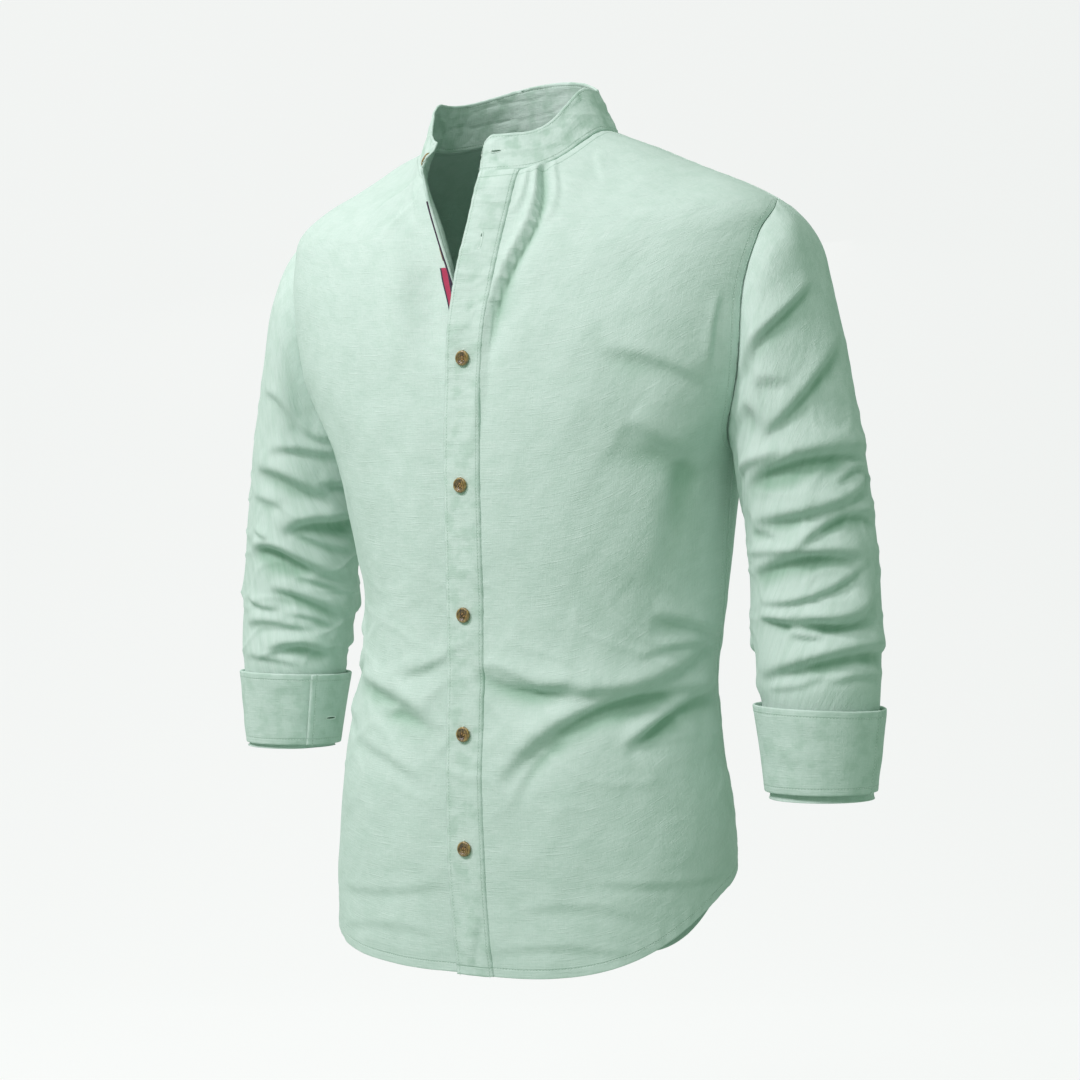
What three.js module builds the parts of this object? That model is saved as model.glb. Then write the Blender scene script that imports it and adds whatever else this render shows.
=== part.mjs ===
// A slim mandarin collar shirt, worn open at the neck with the cuffs turned back.
// Millimetres, +Z up. The front faces -Y and the wearer's left is +X.
// The origin is level with the two neck points, midway between the shoulders.
// Every cloth piece is a thin closed wall, worked out from rings round the body or the arm.
import * as THREE from "three";

// Driving sizes
const WALL = 1.6;
const SIDE_SEAM = 0.6;
const ARMHOLE_SEAM = 0.7;
const COLLAR_SEAM = 1;
const PLACKET_WIDTH = 34;
const PLACKET_WALL = 1.2;
const OUTER_LAYER_GAP = 0.35;
const INNER_LAYER_GAP = 0.4;
const ROLL_WIDTH = 20;
const TAPE_WIDTH = 9;
const TAPE_WALL = 0.8;
const TAPE_GAP = 0.5;
const COLLAR_WALL = 2.4;
const COLLAR_LIFT = 0.6;
const CUFF_WALL = 2.2;
const CUFF_OVERLAP = 30;
const CUFF_OVERLAP_STEP = 2.9;
const BUTTON_RADIUS = 6.2;
const BUTTON_THICKNESS = 2.6;
const BUTTON_GAP = 0.4;
const OPEN_BUTTON_GAP = 2.9;
const COLLAR_BUTTON_GAP = 1.6;

// Numbers of rows and columns in the cloth walls
const BODY_ROWS_BELOW_ARMHOLE = 17;
const ARMHOLE_ROWS = 11;
const SHOULDER_ROWS = 4;
const FRONT_COLUMNS = 9;
const BACK_COLUMNS = 14;
const SLEEVE_COLUMNS = 2 * ARMHOLE_ROWS;
const SLEEVE_ROWS = 32;
const COLLAR_COLUMNS = 30;
const COLLAR_ROWS = 3;
const CUFF_COLUMNS = 26;
const BUTTON_SIDES = 12;

// Rings round the body from hem to neck. seamBack is how far the side seam lies behind the side, in degrees.
const BODY_RINGS = [
  { frontZ: -692, frontY: -121, leftX: 176, rightX: 184, leftZ: -612, rightZ: -650, backZ: -706, backY: 100 },
  { frontZ: -625, frontY: -124, leftX: 175, rightX: 184, leftZ: -566, rightZ: -590, backZ: -634, backY: 100 },
  { frontZ: -545, frontY: -126, leftX: 166, rightX: 174, leftZ: -512, rightZ: -524, backZ: -550, backY: 96 },
  { frontZ: -470, frontY: -124, leftX: 160, rightX: 162, leftZ: -458, rightZ: -460, backZ: -470, backY: 90 },
  { frontZ: -400, frontY: -124, leftX: 167, rightX: 153, leftZ: -398, rightZ: -398, backZ: -398, backY: 88 },
  { frontZ: -330, frontY: -127, leftX: 174, rightX: 165, leftZ: -334, rightZ: -334, backZ: -326, backY: 96 },
  { frontZ: -268, frontY: -129, leftX: 183, rightX: 183, leftZ: -270, rightZ: -270, backZ: -258, backY: 108 },
  { frontZ: -215, frontY: -128, leftX: 216, rightX: 216, leftZ: -206, rightZ: -206, backZ: -192, backY: 114 },
  { frontZ: -170, frontY: -125, leftX: 229, rightX: 229, leftZ: -142, rightZ: -142, backZ: -128, backY: 111 },
  { frontZ: -130, frontY: -120, leftX: 233, rightX: 233, leftZ: -98, rightZ: -98, backZ: -76, backY: 98 },
  { frontZ: -98, frontY: -115, leftX: 223, rightX: 223, leftZ: -70, rightZ: -67, backZ: -42, backY: 78 },
  { frontZ: -70, frontY: -111, leftX: 155, rightX: 155, leftZ: -38, rightZ: -36, backZ: -14, backY: 58 },
  { frontZ: -45, frontY: -107, leftX: 83, rightX: 86, leftZ: -7, rightZ: -9, backZ: 12, backY: 40 },
];
const RING_SHAPES = [
  { sideY: 0, square: 2.2, frontCurve: 3.4, backCurve: 3.4, seamBack: 22 },
  { sideY: 0, square: 2.2, frontCurve: 3, backCurve: 3, seamBack: 19 },
  { sideY: 0, square: 2.2, frontCurve: 2.5, backCurve: 2.5, seamBack: 14 },
  { sideY: 0, square: 2.2, frontCurve: 2, backCurve: 2, seamBack: 9 },
  { sideY: 0, square: 2.2, frontCurve: 2, backCurve: 2, seamBack: 5 },
  { sideY: 0, square: 2.3, frontCurve: 2, backCurve: 2, seamBack: 2 },
  { sideY: 0, square: 2.4, frontCurve: 2, backCurve: 2, seamBack: 0 },
  { sideY: 0, square: 2.4, frontCurve: 2, backCurve: 2, seamBack: 0 },
  { sideY: 0, square: 2.4, frontCurve: 2, backCurve: 2, seamBack: 0 },
  { sideY: 0, square: 2.3, frontCurve: 2.4, backCurve: 1.8, seamBack: 0 },
  { sideY: -2, square: 2.2, frontCurve: 3.2, backCurve: 1.6, seamBack: 0 },
  { sideY: -16, square: 2.2, frontCurve: 4, backCurve: 1.6, seamBack: 0 },
  { sideY: -33, square: 2.1, frontCurve: 4.6, backCurve: 2, seamBack: 0 },
];
const ARMPIT_RING = 6;
const SHOULDER_RING = 10;
const NECK_RING = 12;
const ARMHOLE_ANGLE = { front: 22, back: 24 };
const ARMHOLE_ROUNDNESS = 0.6;

// The two front edges at the same rings. The right one sinks under the left and rolls out at the open neck.
const FRONT_EDGES = [
  { leftX: -7, leftLift: 0, rightX: 4, rightSink: 2.8, rightTurn: 0 },
  { leftX: -12, leftLift: 0, rightX: -1, rightSink: 2.8, rightTurn: 0 },
  { leftX: -15, leftLift: 0, rightX: -3, rightSink: 2.8, rightTurn: 0 },
  { leftX: -15, leftLift: 0, rightX: -3, rightSink: 2.8, rightTurn: 0 },
  { leftX: -15, leftLift: 0, rightX: -3, rightSink: 2.8, rightTurn: 0 },
  { leftX: -15, leftLift: 0, rightX: -3, rightSink: 2.8, rightTurn: 0 },
  { leftX: -15, leftLift: 0, rightX: -3, rightSink: 2.8, rightTurn: 0 },
  { leftX: -14, leftLift: 0.5, rightX: -7, rightSink: 4, rightTurn: 0 },
  { leftX: -11, leftLift: 4, rightX: -20, rightSink: 9, rightTurn: 30 },
  { leftX: -6.5, leftLift: 6, rightX: -24, rightSink: 11, rightTurn: 108 },
  { leftX: -2, leftLift: 5, rightX: -36, rightSink: 11, rightTurn: 130 },
  { leftX: 2.5, leftLift: 3, rightX: -50, rightSink: 9, rightTurn: 112 },
  { leftX: 5, leftLift: 0, rightX: -62, rightSink: 0, rightTurn: 72 },
];

// Rings round the left arm from armhole to cuff, each with its outer and inner point and its depth.
const SLEEVE_RINGS = [
  { outX: 223, outZ: -70, inX: 183, inZ: -270, frontY: -57, backY: 56 },
  { outX: 242, outZ: -88, inX: 189, inZ: -284, frontY: -62, backY: 62 },
  { outX: 255, outZ: -120, inX: 193, inZ: -300, frontY: -64, backY: 64 },
  { outX: 268, outZ: -168, inX: 196, inZ: -322, frontY: -62, backY: 64 },
  { outX: 280, outZ: -228, inX: 198, inZ: -346, frontY: -58, backY: 63 },
  { outX: 292, outZ: -288, inX: 199, inZ: -374, frontY: -54, backY: 61 },
  { outX: 299, outZ: -345, inX: 200, inZ: -404, frontY: -50, backY: 58 },
  { outX: 303, outZ: -402, inX: 203, inZ: -436, frontY: -46, backY: 55 },
  { outX: 303, outZ: -456, inX: 208, inZ: -468, frontY: -43, backY: 52 },
  { outX: 300, outZ: -504, inX: 213, inZ: -508, frontY: -38, backY: 48 },
  { outX: 297, outZ: -541, inX: 215, inZ: -542, frontY: -35, backY: 46 },
  { outX: 299, outZ: -549, inX: 213, inZ: -550, frontY: -37, backY: 48 },
];
const ARMHOLE_BLEND_RINGS = 4;
const RIGHT_ARM = { raise: 22, outward: 9, narrow: 3 };

// The collar's upper edge, at the angles of the neck ring.
const COLLAR_TOP = { frontZ: -14, frontY: -98, leftX: 66, rightX: 74, sideZ: 28, backZ: 50, backY: 27 };
const COLLAR_TOP_CURVE = { left: 6, right: 8.5, back: 2 };
const COLLAR_TOP_MIDDLE = -38;
const COLLAR_TOP_ROUNDNESS = 0.95;
const COLLAR_DEGREE = 1.4;
const COLLAR_END_TURN = 78;
const COLLAR_END_DROP = 11;
const COLLAR_END_RISE = 1.3;
const COLLAR_CORNER = 10;

// Turned-back cuffs: levels on the sleeve, how far they stand off it, and the angle of the free end.
const CUFFS = {
  1: { bottom: 10.05, top: 8.25, bottomStand: 5.8, topStand: 8, end: 5 },
  "-1": { bottom: 10.05, top: 8.1, bottomStand: 5.9, topStand: 6.4, end: 142 },
};

// Button heights on the closed front, then the two open ones as levels on the right band and the collar.
const BUTTON_HEIGHTS = [-198, -299, -403, -499, -590];
const OPEN_BUTTON_LEVEL = 9.5;
const OPEN_BUTTON_COLUMN = 2;
const COLLAR_BUTTON_HEIGHT = 0.42;

// The tape's outer edge, measured from the right front's free edge at two levels.
const TAPE_LEVELS = { low: 7.7, high: 9.5 };
const TAPE_ENDS = { low: { level: 8.1, distance: 16 }, high: { level: 9.1, distance: 25.5 } };

// Folds as curves through three points of angle and height, with the ridge on the upper side.
const TORSO_FOLDS = [
  { from: [8, -468], by: [52, -480], to: [81, -540], width: 9, depth: 4.5 },
  { from: [-14, -452], by: [28, -446], to: [70, -452], width: 10, depth: 5 },
  { from: [-12, -474], by: [24, -488], to: [46, -520], width: 9, depth: 3 },
  { from: [-10, -406], by: [12, -409], to: [34, -404], width: 11, depth: 3 },
  { from: [101, -490], by: [117, -468], to: [142, -464], width: 9, depth: 3.5 },
  { from: [150, -420], by: [165, -424], to: [184, -418], width: 11, depth: 3 },
  { from: [205, -430], by: [240, -446], to: [275, -436], width: 13, depth: 4 },
  { from: [262, -410], by: [300, -426], to: [338, -412], width: 13, depth: 4 },
];
const LEFT_SLEEVE_FOLDS = [
  { from: [0, 3.2], by: [38, 3.55], to: [92, 3.3], width: 9, depth: 3 },
  { from: [-24, 4.7], by: [44, 4.5], to: [122, 3.6], width: 9, depth: 4.5 },
  { from: [-24, 5.65], by: [40, 5.5], to: [84, 5.6], width: 8, depth: 3.5 },
  { from: [12, 6.2], by: [66, 5.8], to: [136, 5.2], width: 8, depth: 3.5 },
  { from: [4, 6.6], by: [50, 6.9], to: [126, 6.3], width: 9, depth: 4 },
  { from: [-22, 7.5], by: [40, 7.42], to: [134, 7.55], width: 9, depth: 4.5 },
  { from: [200, 4.6], by: [250, 5.1], to: [310, 4.9], width: 10, depth: 4 },
  { from: [190, 6.1], by: [240, 6.4], to: [300, 6.1], width: 10, depth: 4 },
];
const RIGHT_SLEEVE_FOLDS = [
  { from: [64, 4.4], by: [119, 3.3], to: [156, 2.5], width: 9, depth: 3.5 },
  { from: [104, 4.95], by: [146, 3.6], to: [192, 2.8], width: 9, depth: 4.5 },
  { from: [62, 5.9], by: [116, 5.2], to: [184, 5.15], width: 9, depth: 4.5 },
  { from: [92, 6.3], by: [141, 6.05], to: [178, 6.35], width: 8, depth: 3.5 },
  { from: [56, 7.3], by: [104, 6.95], to: [144, 6.85], width: 7, depth: 2.5 },
  { from: [92, 7.75], by: [128, 7.3], to: [168, 7.45], width: 8, depth: 4 },
  { from: [200, 4.6], by: [250, 5.1], to: [310, 4.9], width: 10, depth: 4 },
  { from: [210, 6.2], by: [255, 6.5], to: [320, 6.2], width: 10, depth: 4 },
];
// Millimetres of cloth to a degree round the body and the arm, and to a level along the arm.
const BODY_DEGREE = 2.6;
const SLEEVE_DEGREE = 0.9;
const SLEEVE_LEVEL = -45;

const radians = THREE.MathUtils.degToRad;
const degrees = THREE.MathUtils.radToDeg;
const lerp = THREE.MathUtils.lerp;
const clamp = THREE.MathUtils.clamp;
const smooth = (from, to, value) => THREE.MathUtils.smoothstep(value, from, to);

// A column of a table of rings at any level between its rows, on a smooth curve.
function ringValue(rings, key, level) {
  const last = rings.length - 1;
  const i = clamp(Math.floor(level), 0, last - 1);
  const at = (k) => rings[clamp(k, 0, last)][key];
  const t = level - i;
  const [a, b, c, d] = [at(i - 1), at(i), at(i + 1), at(i + 2)];
  const slopeIn = (c - a) / 2;
  const slopeOut = (d - b) / 2;
  const t2 = t * t;
  const t3 = t2 * t;
  const slopes = (t3 - 2 * t2 + t) * slopeIn + (t3 - t2) * slopeOut;
  return (2 * t3 - 3 * t2 + 1) * b + (3 * t2 - 2 * t3) * c + slopes;
}

// How far folds move the cloth outwards: a trough along each curve with a rounded ridge above it.
function foldOffset(folds, angle, height, perDegree, perHeight) {
  const steps = 10;
  return folds.reduce((sum, { from, by, to, width, depth }) => {
    const middle = (from[0] + to[0]) / 2;
    const near = angle + 360 * Math.round((middle - angle) / 360);
    const bend = (k) => 2 * by[k] - (from[k] + to[k]) / 2;
    const at = (t, k) => (1 - t) ** 2 * from[k] + 2 * t * (1 - t) * bend(k) + t * t * to[k];
    const flat = (t) => new THREE.Vector2(at(t, 0) * perDegree, at(t, 1) * perHeight);
    const place = new THREE.Vector2(near * perDegree, height * perHeight);
    let best = { distance: Infinity };
    for (let i = 0; i < steps; i++) {
      const a = flat(i / steps);
      const along = flat((i + 1) / steps).sub(a);
      const t = clamp(place.clone().sub(a).dot(along) / along.lengthSq(), 0, 1);
      const off = place.clone().sub(a).addScaledVector(along, -t);
      if (off.length() < Math.abs(best.distance)) {
        best = { distance: off.length() * Math.sign(along.cross(off) || 1), share: (i + t) / steps };
      }
    }
    const fade = 1 - Math.abs(2 * best.share - 1) ** 3;
    const trough = Math.exp(-((best.distance / width) ** 2));
    const ridge = Math.exp(-(((best.distance - 1.7 * width) / (1.2 * width)) ** 2));
    return sum + fade * depth * (0.6 * ridge - trough);
  }, 0);
}

// A point on the body's ring: angle 0 is the wearer's left side, 90 the front and 270 the back.
function bodyPoint(angle, level) {
  const value = (key) => ringValue(BODY_RINGS, key, level);
  const shape = (key) => ringValue(RING_SHAPES, key, level);
  const turned = ((angle % 360) + 360) % 360;
  const c = Math.cos(radians(turned));
  const s = Math.sin(radians(turned));
  const power = 2 / shape("square");
  const halfWidth = c >= 0 ? value("leftX") : value("rightX");
  const sideY = shape("sideY");
  const endY = s >= 0 ? value("frontY") : value("backY");
  const behind = shape("seamBack");
  const inFront = turned <= 180 + behind || turned >= 360 - behind;
  const fromEnd = inFront ? ((turned + 90) % 360) - 180 : turned - 270;
  const seamAngle = (fromEnd * 90) / (inFront ? 90 + behind : 90 - behind);
  const share = Math.abs(Math.sin(radians(seamAngle))) ** shape(inFront ? "frontCurve" : "backCurve");
  const onLeft = inFront ? fromEnd < 0 : fromEnd > 0;
  const endZ = value(inFront ? "frontZ" : "backZ");
  const z = lerp(endZ, value(onLeft ? "leftZ" : "rightZ"), share);
  const out = foldOffset(TORSO_FOLDS, turned, z, BODY_DEGREE, 1);
  return new THREE.Vector3(
    Math.sign(c) * halfWidth * Math.abs(c) ** power + c * out,
    sideY + (endY - sideY) * Math.abs(s) ** power - s * out,
    z,
  );
}

// The angle on the front at which a ring reaches a given x.
function angleAtX(x, level) {
  const halfWidth = ringValue(BODY_RINGS, x >= 0 ? "leftX" : "rightX", level);
  const c = (Math.abs(x) / halfWidth) ** (ringValue(RING_SHAPES, "square", level) / 2);
  return degrees(Math.acos(Math.sign(x) * c));
}

// How far the armhole's edge lies from the side line, in degrees, at a share of its height.
const armholeAngle = (share, side) => ARMHOLE_ANGLE[side] * Math.sin(Math.PI * share) ** ARMHOLE_ROUNDNESS;

// The levels of a body panel's rows. Those of the armhole fall on the sleeve's columns.
const BODY_LEVELS = [
  ...Array.from({ length: BODY_ROWS_BELOW_ARMHOLE }, (_, i) => (ARMPIT_RING * i) / BODY_ROWS_BELOW_ARMHOLE),
  ...Array.from({ length: ARMHOLE_ROWS }, (_, i) => {
    const share = (1 - Math.cos((Math.PI * i) / ARMHOLE_ROWS)) / 2;
    return ARMPIT_RING + (SHOULDER_RING - ARMPIT_RING) * share;
  }),
  ...Array.from({ length: SHOULDER_ROWS + 1 }, (_, i) => {
    return SHOULDER_RING + ((NECK_RING - SHOULDER_RING) * i) / SHOULDER_ROWS;
  }),
];

// The outer edge of a panel in degrees from the side line: side seam, then armhole, then shoulder seam.
function outerEdgeAngle(level, side) {
  const share = clamp((level - ARMPIT_RING) / (SHOULDER_RING - ARMPIT_RING), 0, 1);
  const gap = degrees(SIDE_SEAM / 2 / ringValue(BODY_RINGS, "leftX", level));
  const behind = level < ARMPIT_RING ? ringValue(RING_SHAPES, "seamBack", level) : 0;
  return Math.max(gap, armholeAngle(share, side)) + (side === "front" ? -behind : behind);
}

// Rolls the last cloth of an edge outwards, from a start point, along and out directions.
function rolled(start, along, out, turnDegrees, rest) {
  const turn = radians(Math.max(turnDegrees, 0.5));
  const radius = ROLL_WIDTH / turn;
  const turned = (turn * rest) / ROLL_WIDTH;
  start.addScaledVector(along, radius * Math.sin(turned));
  return start.addScaledVector(out, radius * (1 - Math.cos(turned)));
}

// The cloth of a front panel at a distance from its free edge, with its outward direction.
function frontEdgePoint(sign, level, distance) {
  const edge = (key) => ringValue(FRONT_EDGES, key, level);
  const surface = (x) => bodyPoint(angleAtX(x, level), level);
  const frame = (x) => {
    const along = surface(x + 0.5).sub(surface(x - 0.5)).normalize();
    const angle = angleAtX(x, level);
    const up = bodyPoint(angle, level + 0.01).sub(bodyPoint(angle, level - 0.01));
    const out = along.clone().cross(up).normalize();
    return { along, out };
  };
  if (sign > 0) {
    const x = edge("leftX") + distance;
    const fade = 1 - smooth(0, 1.5 * PLACKET_WIDTH, distance);
    return surface(x).addScaledVector(frame(x).out, edge("leftLift") * fade);
  }
  const rollX = edge("rightX");
  const x = rollX - Math.max(distance - ROLL_WIDTH, 0);
  const { along, out } = frame(x);
  const fade = 1 - smooth(PLACKET_WIDTH - 2, 2 * PLACKET_WIDTH, distance);
  const point = surface(x).addScaledVector(out, -edge("rightSink") * fade);
  const rest = ROLL_WIDTH - distance;
  if (rest <= 0) return point;
  return rolled(point, along, out, edge("rightTurn"), rest);
}

// The columns of a front panel as distances from its free edge. The band's own edge is one of them.
const BAND_COLUMNS = { 1: [0, 17, 34], "-1": [0, 5, 10, 15, 20, 27, 34] };

// A point on a front panel at a column number, which may lie between columns.
function frontPoint(sign, level, column) {
  const band = BAND_COLUMNS[sign];
  const last = band.length - 1;
  if (column <= last) {
    const i = clamp(Math.floor(column), 0, last - 1);
    return frontEdgePoint(sign, level, lerp(band[i], band[i + 1], column - i));
  }
  const share = (column - last) / FRONT_COLUMNS;
  const edgeX = ringValue(FRONT_EDGES, sign > 0 ? "leftX" : "rightX", level);
  const bandX = sign > 0 ? edgeX + PLACKET_WIDTH : edgeX - PLACKET_WIDTH + ROLL_WIDTH;
  const outer = outerEdgeAngle(level, "front");
  const angle = lerp(angleAtX(bandX, level), sign > 0 ? outer : 180 - outer, share);
  const point = bodyPoint(angle, level);
  const distance = PLACKET_WIDTH + Math.abs(point.x - bandX);
  if (share > 0.6) return point;
  return frontEdgePoint(sign, level, distance);
}

const backPoint = (level, column) => {
  const edge = outerEdgeAngle(level, "back");
  return bodyPoint(360 - lerp(edge, 180 - edge, column / BACK_COLUMNS), level);
};

// A point on a sleeve's ring: angle 0 is outside, 90 front, 180 inside and 270 back.
function sleeveRingPoint(angle, level) {
  const value = (key) => ringValue(SLEEVE_RINGS, key, level);
  const c = Math.cos(radians(angle));
  const s = Math.sin(radians(angle));
  const middleY = (value("frontY") + value("backY")) / 2;
  const depth = (value("backY") - value("frontY")) / 2;
  return new THREE.Vector3(
    (value("outX") + value("inX")) / 2 + (c * (value("outX") - value("inX"))) / 2,
    middleY - depth * s,
    (value("outZ") + value("inZ")) / 2 + (c * (value("outZ") - value("inZ"))) / 2,
  );
}

// The armhole's edge on the body, at the sleeve's own angle. sign is 1 for the wearer's left.
function armholePoint(sign, angle) {
  const share = clamp((1 + Math.cos(radians(angle))) / 2, 0, 1);
  const level = ARMPIT_RING + (SHOULDER_RING - ARMPIT_RING) * share;
  const isFront = Math.sin(radians(angle)) >= 0;
  const fromSide = armholeAngle(share, isFront ? "front" : "back");
  const onLeft = isFront ? fromSide : 360 - fromSide;
  return bodyPoint(sign > 0 ? onLeft : 540 - onLeft, level);
}

function sleevePoint(sign, angle, level) {
  const point = sleeveRingPoint(angle, level);
  const c = Math.cos(radians(angle));
  const s = Math.sin(radians(angle));
  const folds = sign > 0 ? LEFT_SLEEVE_FOLDS : RIGHT_SLEEVE_FOLDS;
  let out = foldOffset(folds, angle, level, SLEEVE_DEGREE, SLEEVE_LEVEL) * (1 - smooth(7.6, 8.1, level));
  if (sign < 0) {
    const along = clamp(level / (SLEEVE_RINGS.length - 1), 0, 1) ** 3;
    point.z += RIGHT_ARM.raise * along;
    point.x += RIGHT_ARM.outward * along;
    out -= RIGHT_ARM.narrow * along;
  }
  point.x += c * out;
  point.y -= s * out;
  point.x *= sign;
  const hold = 1 - smooth(0, ARMHOLE_BLEND_RINGS, level);
  const start = sleeveRingPoint(angle, 0);
  start.x *= sign;
  point.addScaledVector(armholePoint(sign, angle).sub(start), hold);
  point.x += sign * ARMHOLE_SEAM;
  return point;
}

// The grid of a surface with its outward unit normals. facing is 1 where columns x rows points outwards.
function surfaceGrid(surface, levels, columns, facing) {
  const step = 0.02;
  const last = levels.length - 1;
  const points = levels.map((level) => columns.map((column) => surface(level, column)));
  const normals = levels.map((level, i) =>
    columns.map((column) => {
      const low = i === 0 ? level : level - step;
      const high = i === last ? level : level + step;
      const along = surface(high, column).sub(surface(low, column));
      const across = surface(level, column + step).sub(surface(level, column - step));
      return across.cross(along).normalize().multiplyScalar(facing);
    }),
  );
  return { points, normals };
}

// A closed wall of cloth between two grids of points.
function clothWall(outer, inner, isTube, facing) {
  const rows = outer.length;
  const columns = outer[0].length;
  const positions = [];
  [outer, inner].forEach((grid) => grid.forEach((row) => row.forEach((p) => positions.push(p.x, p.y, p.z))));
  const index = [];
  const quad = (a, b, c, d) => {
    if (facing > 0) index.push(a, b, c, a, c, d);
    else index.push(a, c, b, a, d, c);
  };
  const outside = (i, j) => i * columns + (j % columns);
  const inside = (i, j) => rows * columns + outside(i, j);
  const lastColumn = isTube ? columns : columns - 1;
  for (let i = 0; i < rows - 1; i++) {
    for (let j = 0; j < lastColumn; j++) {
      quad(outside(i, j), outside(i, j + 1), outside(i + 1, j + 1), outside(i + 1, j));
      quad(inside(i, j), inside(i + 1, j), inside(i + 1, j + 1), inside(i, j + 1));
    }
  }
  for (let j = 0; j < lastColumn; j++) {
    quad(outside(0, j + 1), outside(0, j), inside(0, j), inside(0, j + 1));
    quad(outside(rows - 1, j), outside(rows - 1, j + 1), inside(rows - 1, j + 1), inside(rows - 1, j));
  }
  if (!isTube) {
    for (let i = 0; i < rows - 1; i++) {
      quad(outside(i, 0), outside(i + 1, 0), inside(i + 1, 0), inside(i, 0));
      const j = columns - 1;
      quad(outside(i + 1, j), outside(i, j), inside(i, j), inside(i + 1, j));
    }
  }
  return new THREE.BufferGeometry()
    .setAttribute("position", new THREE.Float32BufferAttribute(positions, 3))
    .setIndex(index);
}

const shift = ({ points, normals }, distance) =>
  points.map((row, i) => row.map((p, j) => p.clone().addScaledVector(normals[i][j], distance)));

const shirt = new THREE.Group();
const CLOTH = { color: 0xbfdccd, roughness: 0.9, metalness: 0 };
const TAPE = { color: 0xa0324f, roughness: 0.8, metalness: 0 };
const BUTTON = { color: 0x6e4f1e, roughness: 0.45, metalness: 0 };

function addMesh(name, geometry, look) {
  const mesh = new THREE.Mesh(geometry, new THREE.MeshStandardMaterial(look));
  mesh.name = name;
  shirt.add(mesh);
  return mesh;
}

// Adds a wall on a grid. lift is how far its outer face stands off the grid.
function addCloth(name, grid, { isTube = false, facing = 1, lift = 0, wall = WALL, look = CLOTH }) {
  addMesh(name, clothWall(shift(grid, lift), shift(grid, lift - wall), isTube, facing), look);
}

// Part of a grid, by row and column numbers.
const partOf = ({ points, normals }, rows, columns) => ({
  points: points.slice(...rows).map((row) => row.slice(...columns)),
  normals: normals.slice(...rows).map((row) => row.slice(...columns)),
});

const count = (length) => Array.from({ length }, (_, i) => i);

// Fronts and back
const frontGrid = (sign) => {
  const columns = count(BAND_COLUMNS[sign].length + FRONT_COLUMNS);
  return surfaceGrid((level, column) => frontPoint(sign, level, column), BODY_LEVELS, columns, sign);
};
const leftFront = frontGrid(1);
const rightFront = frontGrid(-1);
addCloth("front_left", leftFront, { facing: 1 });
addCloth("front_right", rightFront, { facing: -1 });
addCloth("back", surfaceGrid(backPoint, BODY_LEVELS, count(BACK_COLUMNS + 1), 1), { facing: 1 });

// Plackets, made from the fronts' own points: the left one moved out, the right one moved in
const bandLift = OUTER_LAYER_GAP + PLACKET_WALL;
const leftPlacket = partOf(leftFront, [0], [0, BAND_COLUMNS[1].length]);
const rightPlacket = partOf(rightFront, [0], [0, BAND_COLUMNS[-1].length]);
addCloth("placket_left", leftPlacket, { facing: 1, lift: bandLift, wall: PLACKET_WALL });
addCloth("placket_right", rightPlacket, { facing: -1, lift: -WALL - INNER_LAYER_GAP, wall: PLACKET_WALL });

// Sleeves
const sleeveLevels = count(SLEEVE_ROWS + 1).map((i) => ((SLEEVE_RINGS.length - 1) * i) / SLEEVE_ROWS);
[1, -1].forEach((sign) => {
  const surface = (level, column) => sleevePoint(sign, (360 * column) / SLEEVE_COLUMNS, level);
  const grid = surfaceGrid(surface, sleeveLevels, count(SLEEVE_COLUMNS), sign);
  addCloth(sign > 0 ? "sleeve_left" : "sleeve_right", grid, { isTube: true, facing: sign });
});

// Collar band, from its left end round the back to the rolled right end
const COLLAR_LEFT_ANGLE = angleAtX(ringValue(FRONT_EDGES, "leftX", NECK_RING), NECK_RING);
const COLLAR_RIGHT_ANGLE = angleAtX(ringValue(FRONT_EDGES, "rightX", NECK_RING), NECK_RING) - 360;
const COLLAR_ROLL_COLUMNS = 4;

function collarTopPoint(angle) {
  const c = Math.cos(radians(angle));
  const s = Math.sin(radians(angle));
  const power = s < 0 ? COLLAR_TOP_CURVE.back : COLLAR_TOP_CURVE[c >= 0 ? "left" : "right"];
  const curve = Math.abs(c) ** power;
  const endY = s >= 0 ? COLLAR_TOP.frontY : COLLAR_TOP.backY;
  return new THREE.Vector3(
    Math.sign(c) * (c >= 0 ? COLLAR_TOP.leftX : COLLAR_TOP.rightX) * Math.abs(c) ** COLLAR_TOP_ROUNDNESS,
    COLLAR_TOP_MIDDLE + (endY - COLLAR_TOP_MIDDLE) * Math.abs(s) ** COLLAR_TOP_ROUNDNESS,
    lerp(s >= 0 ? COLLAR_TOP.frontZ : COLLAR_TOP.backZ, COLLAR_TOP.sideZ, curve),
  );
}

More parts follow.
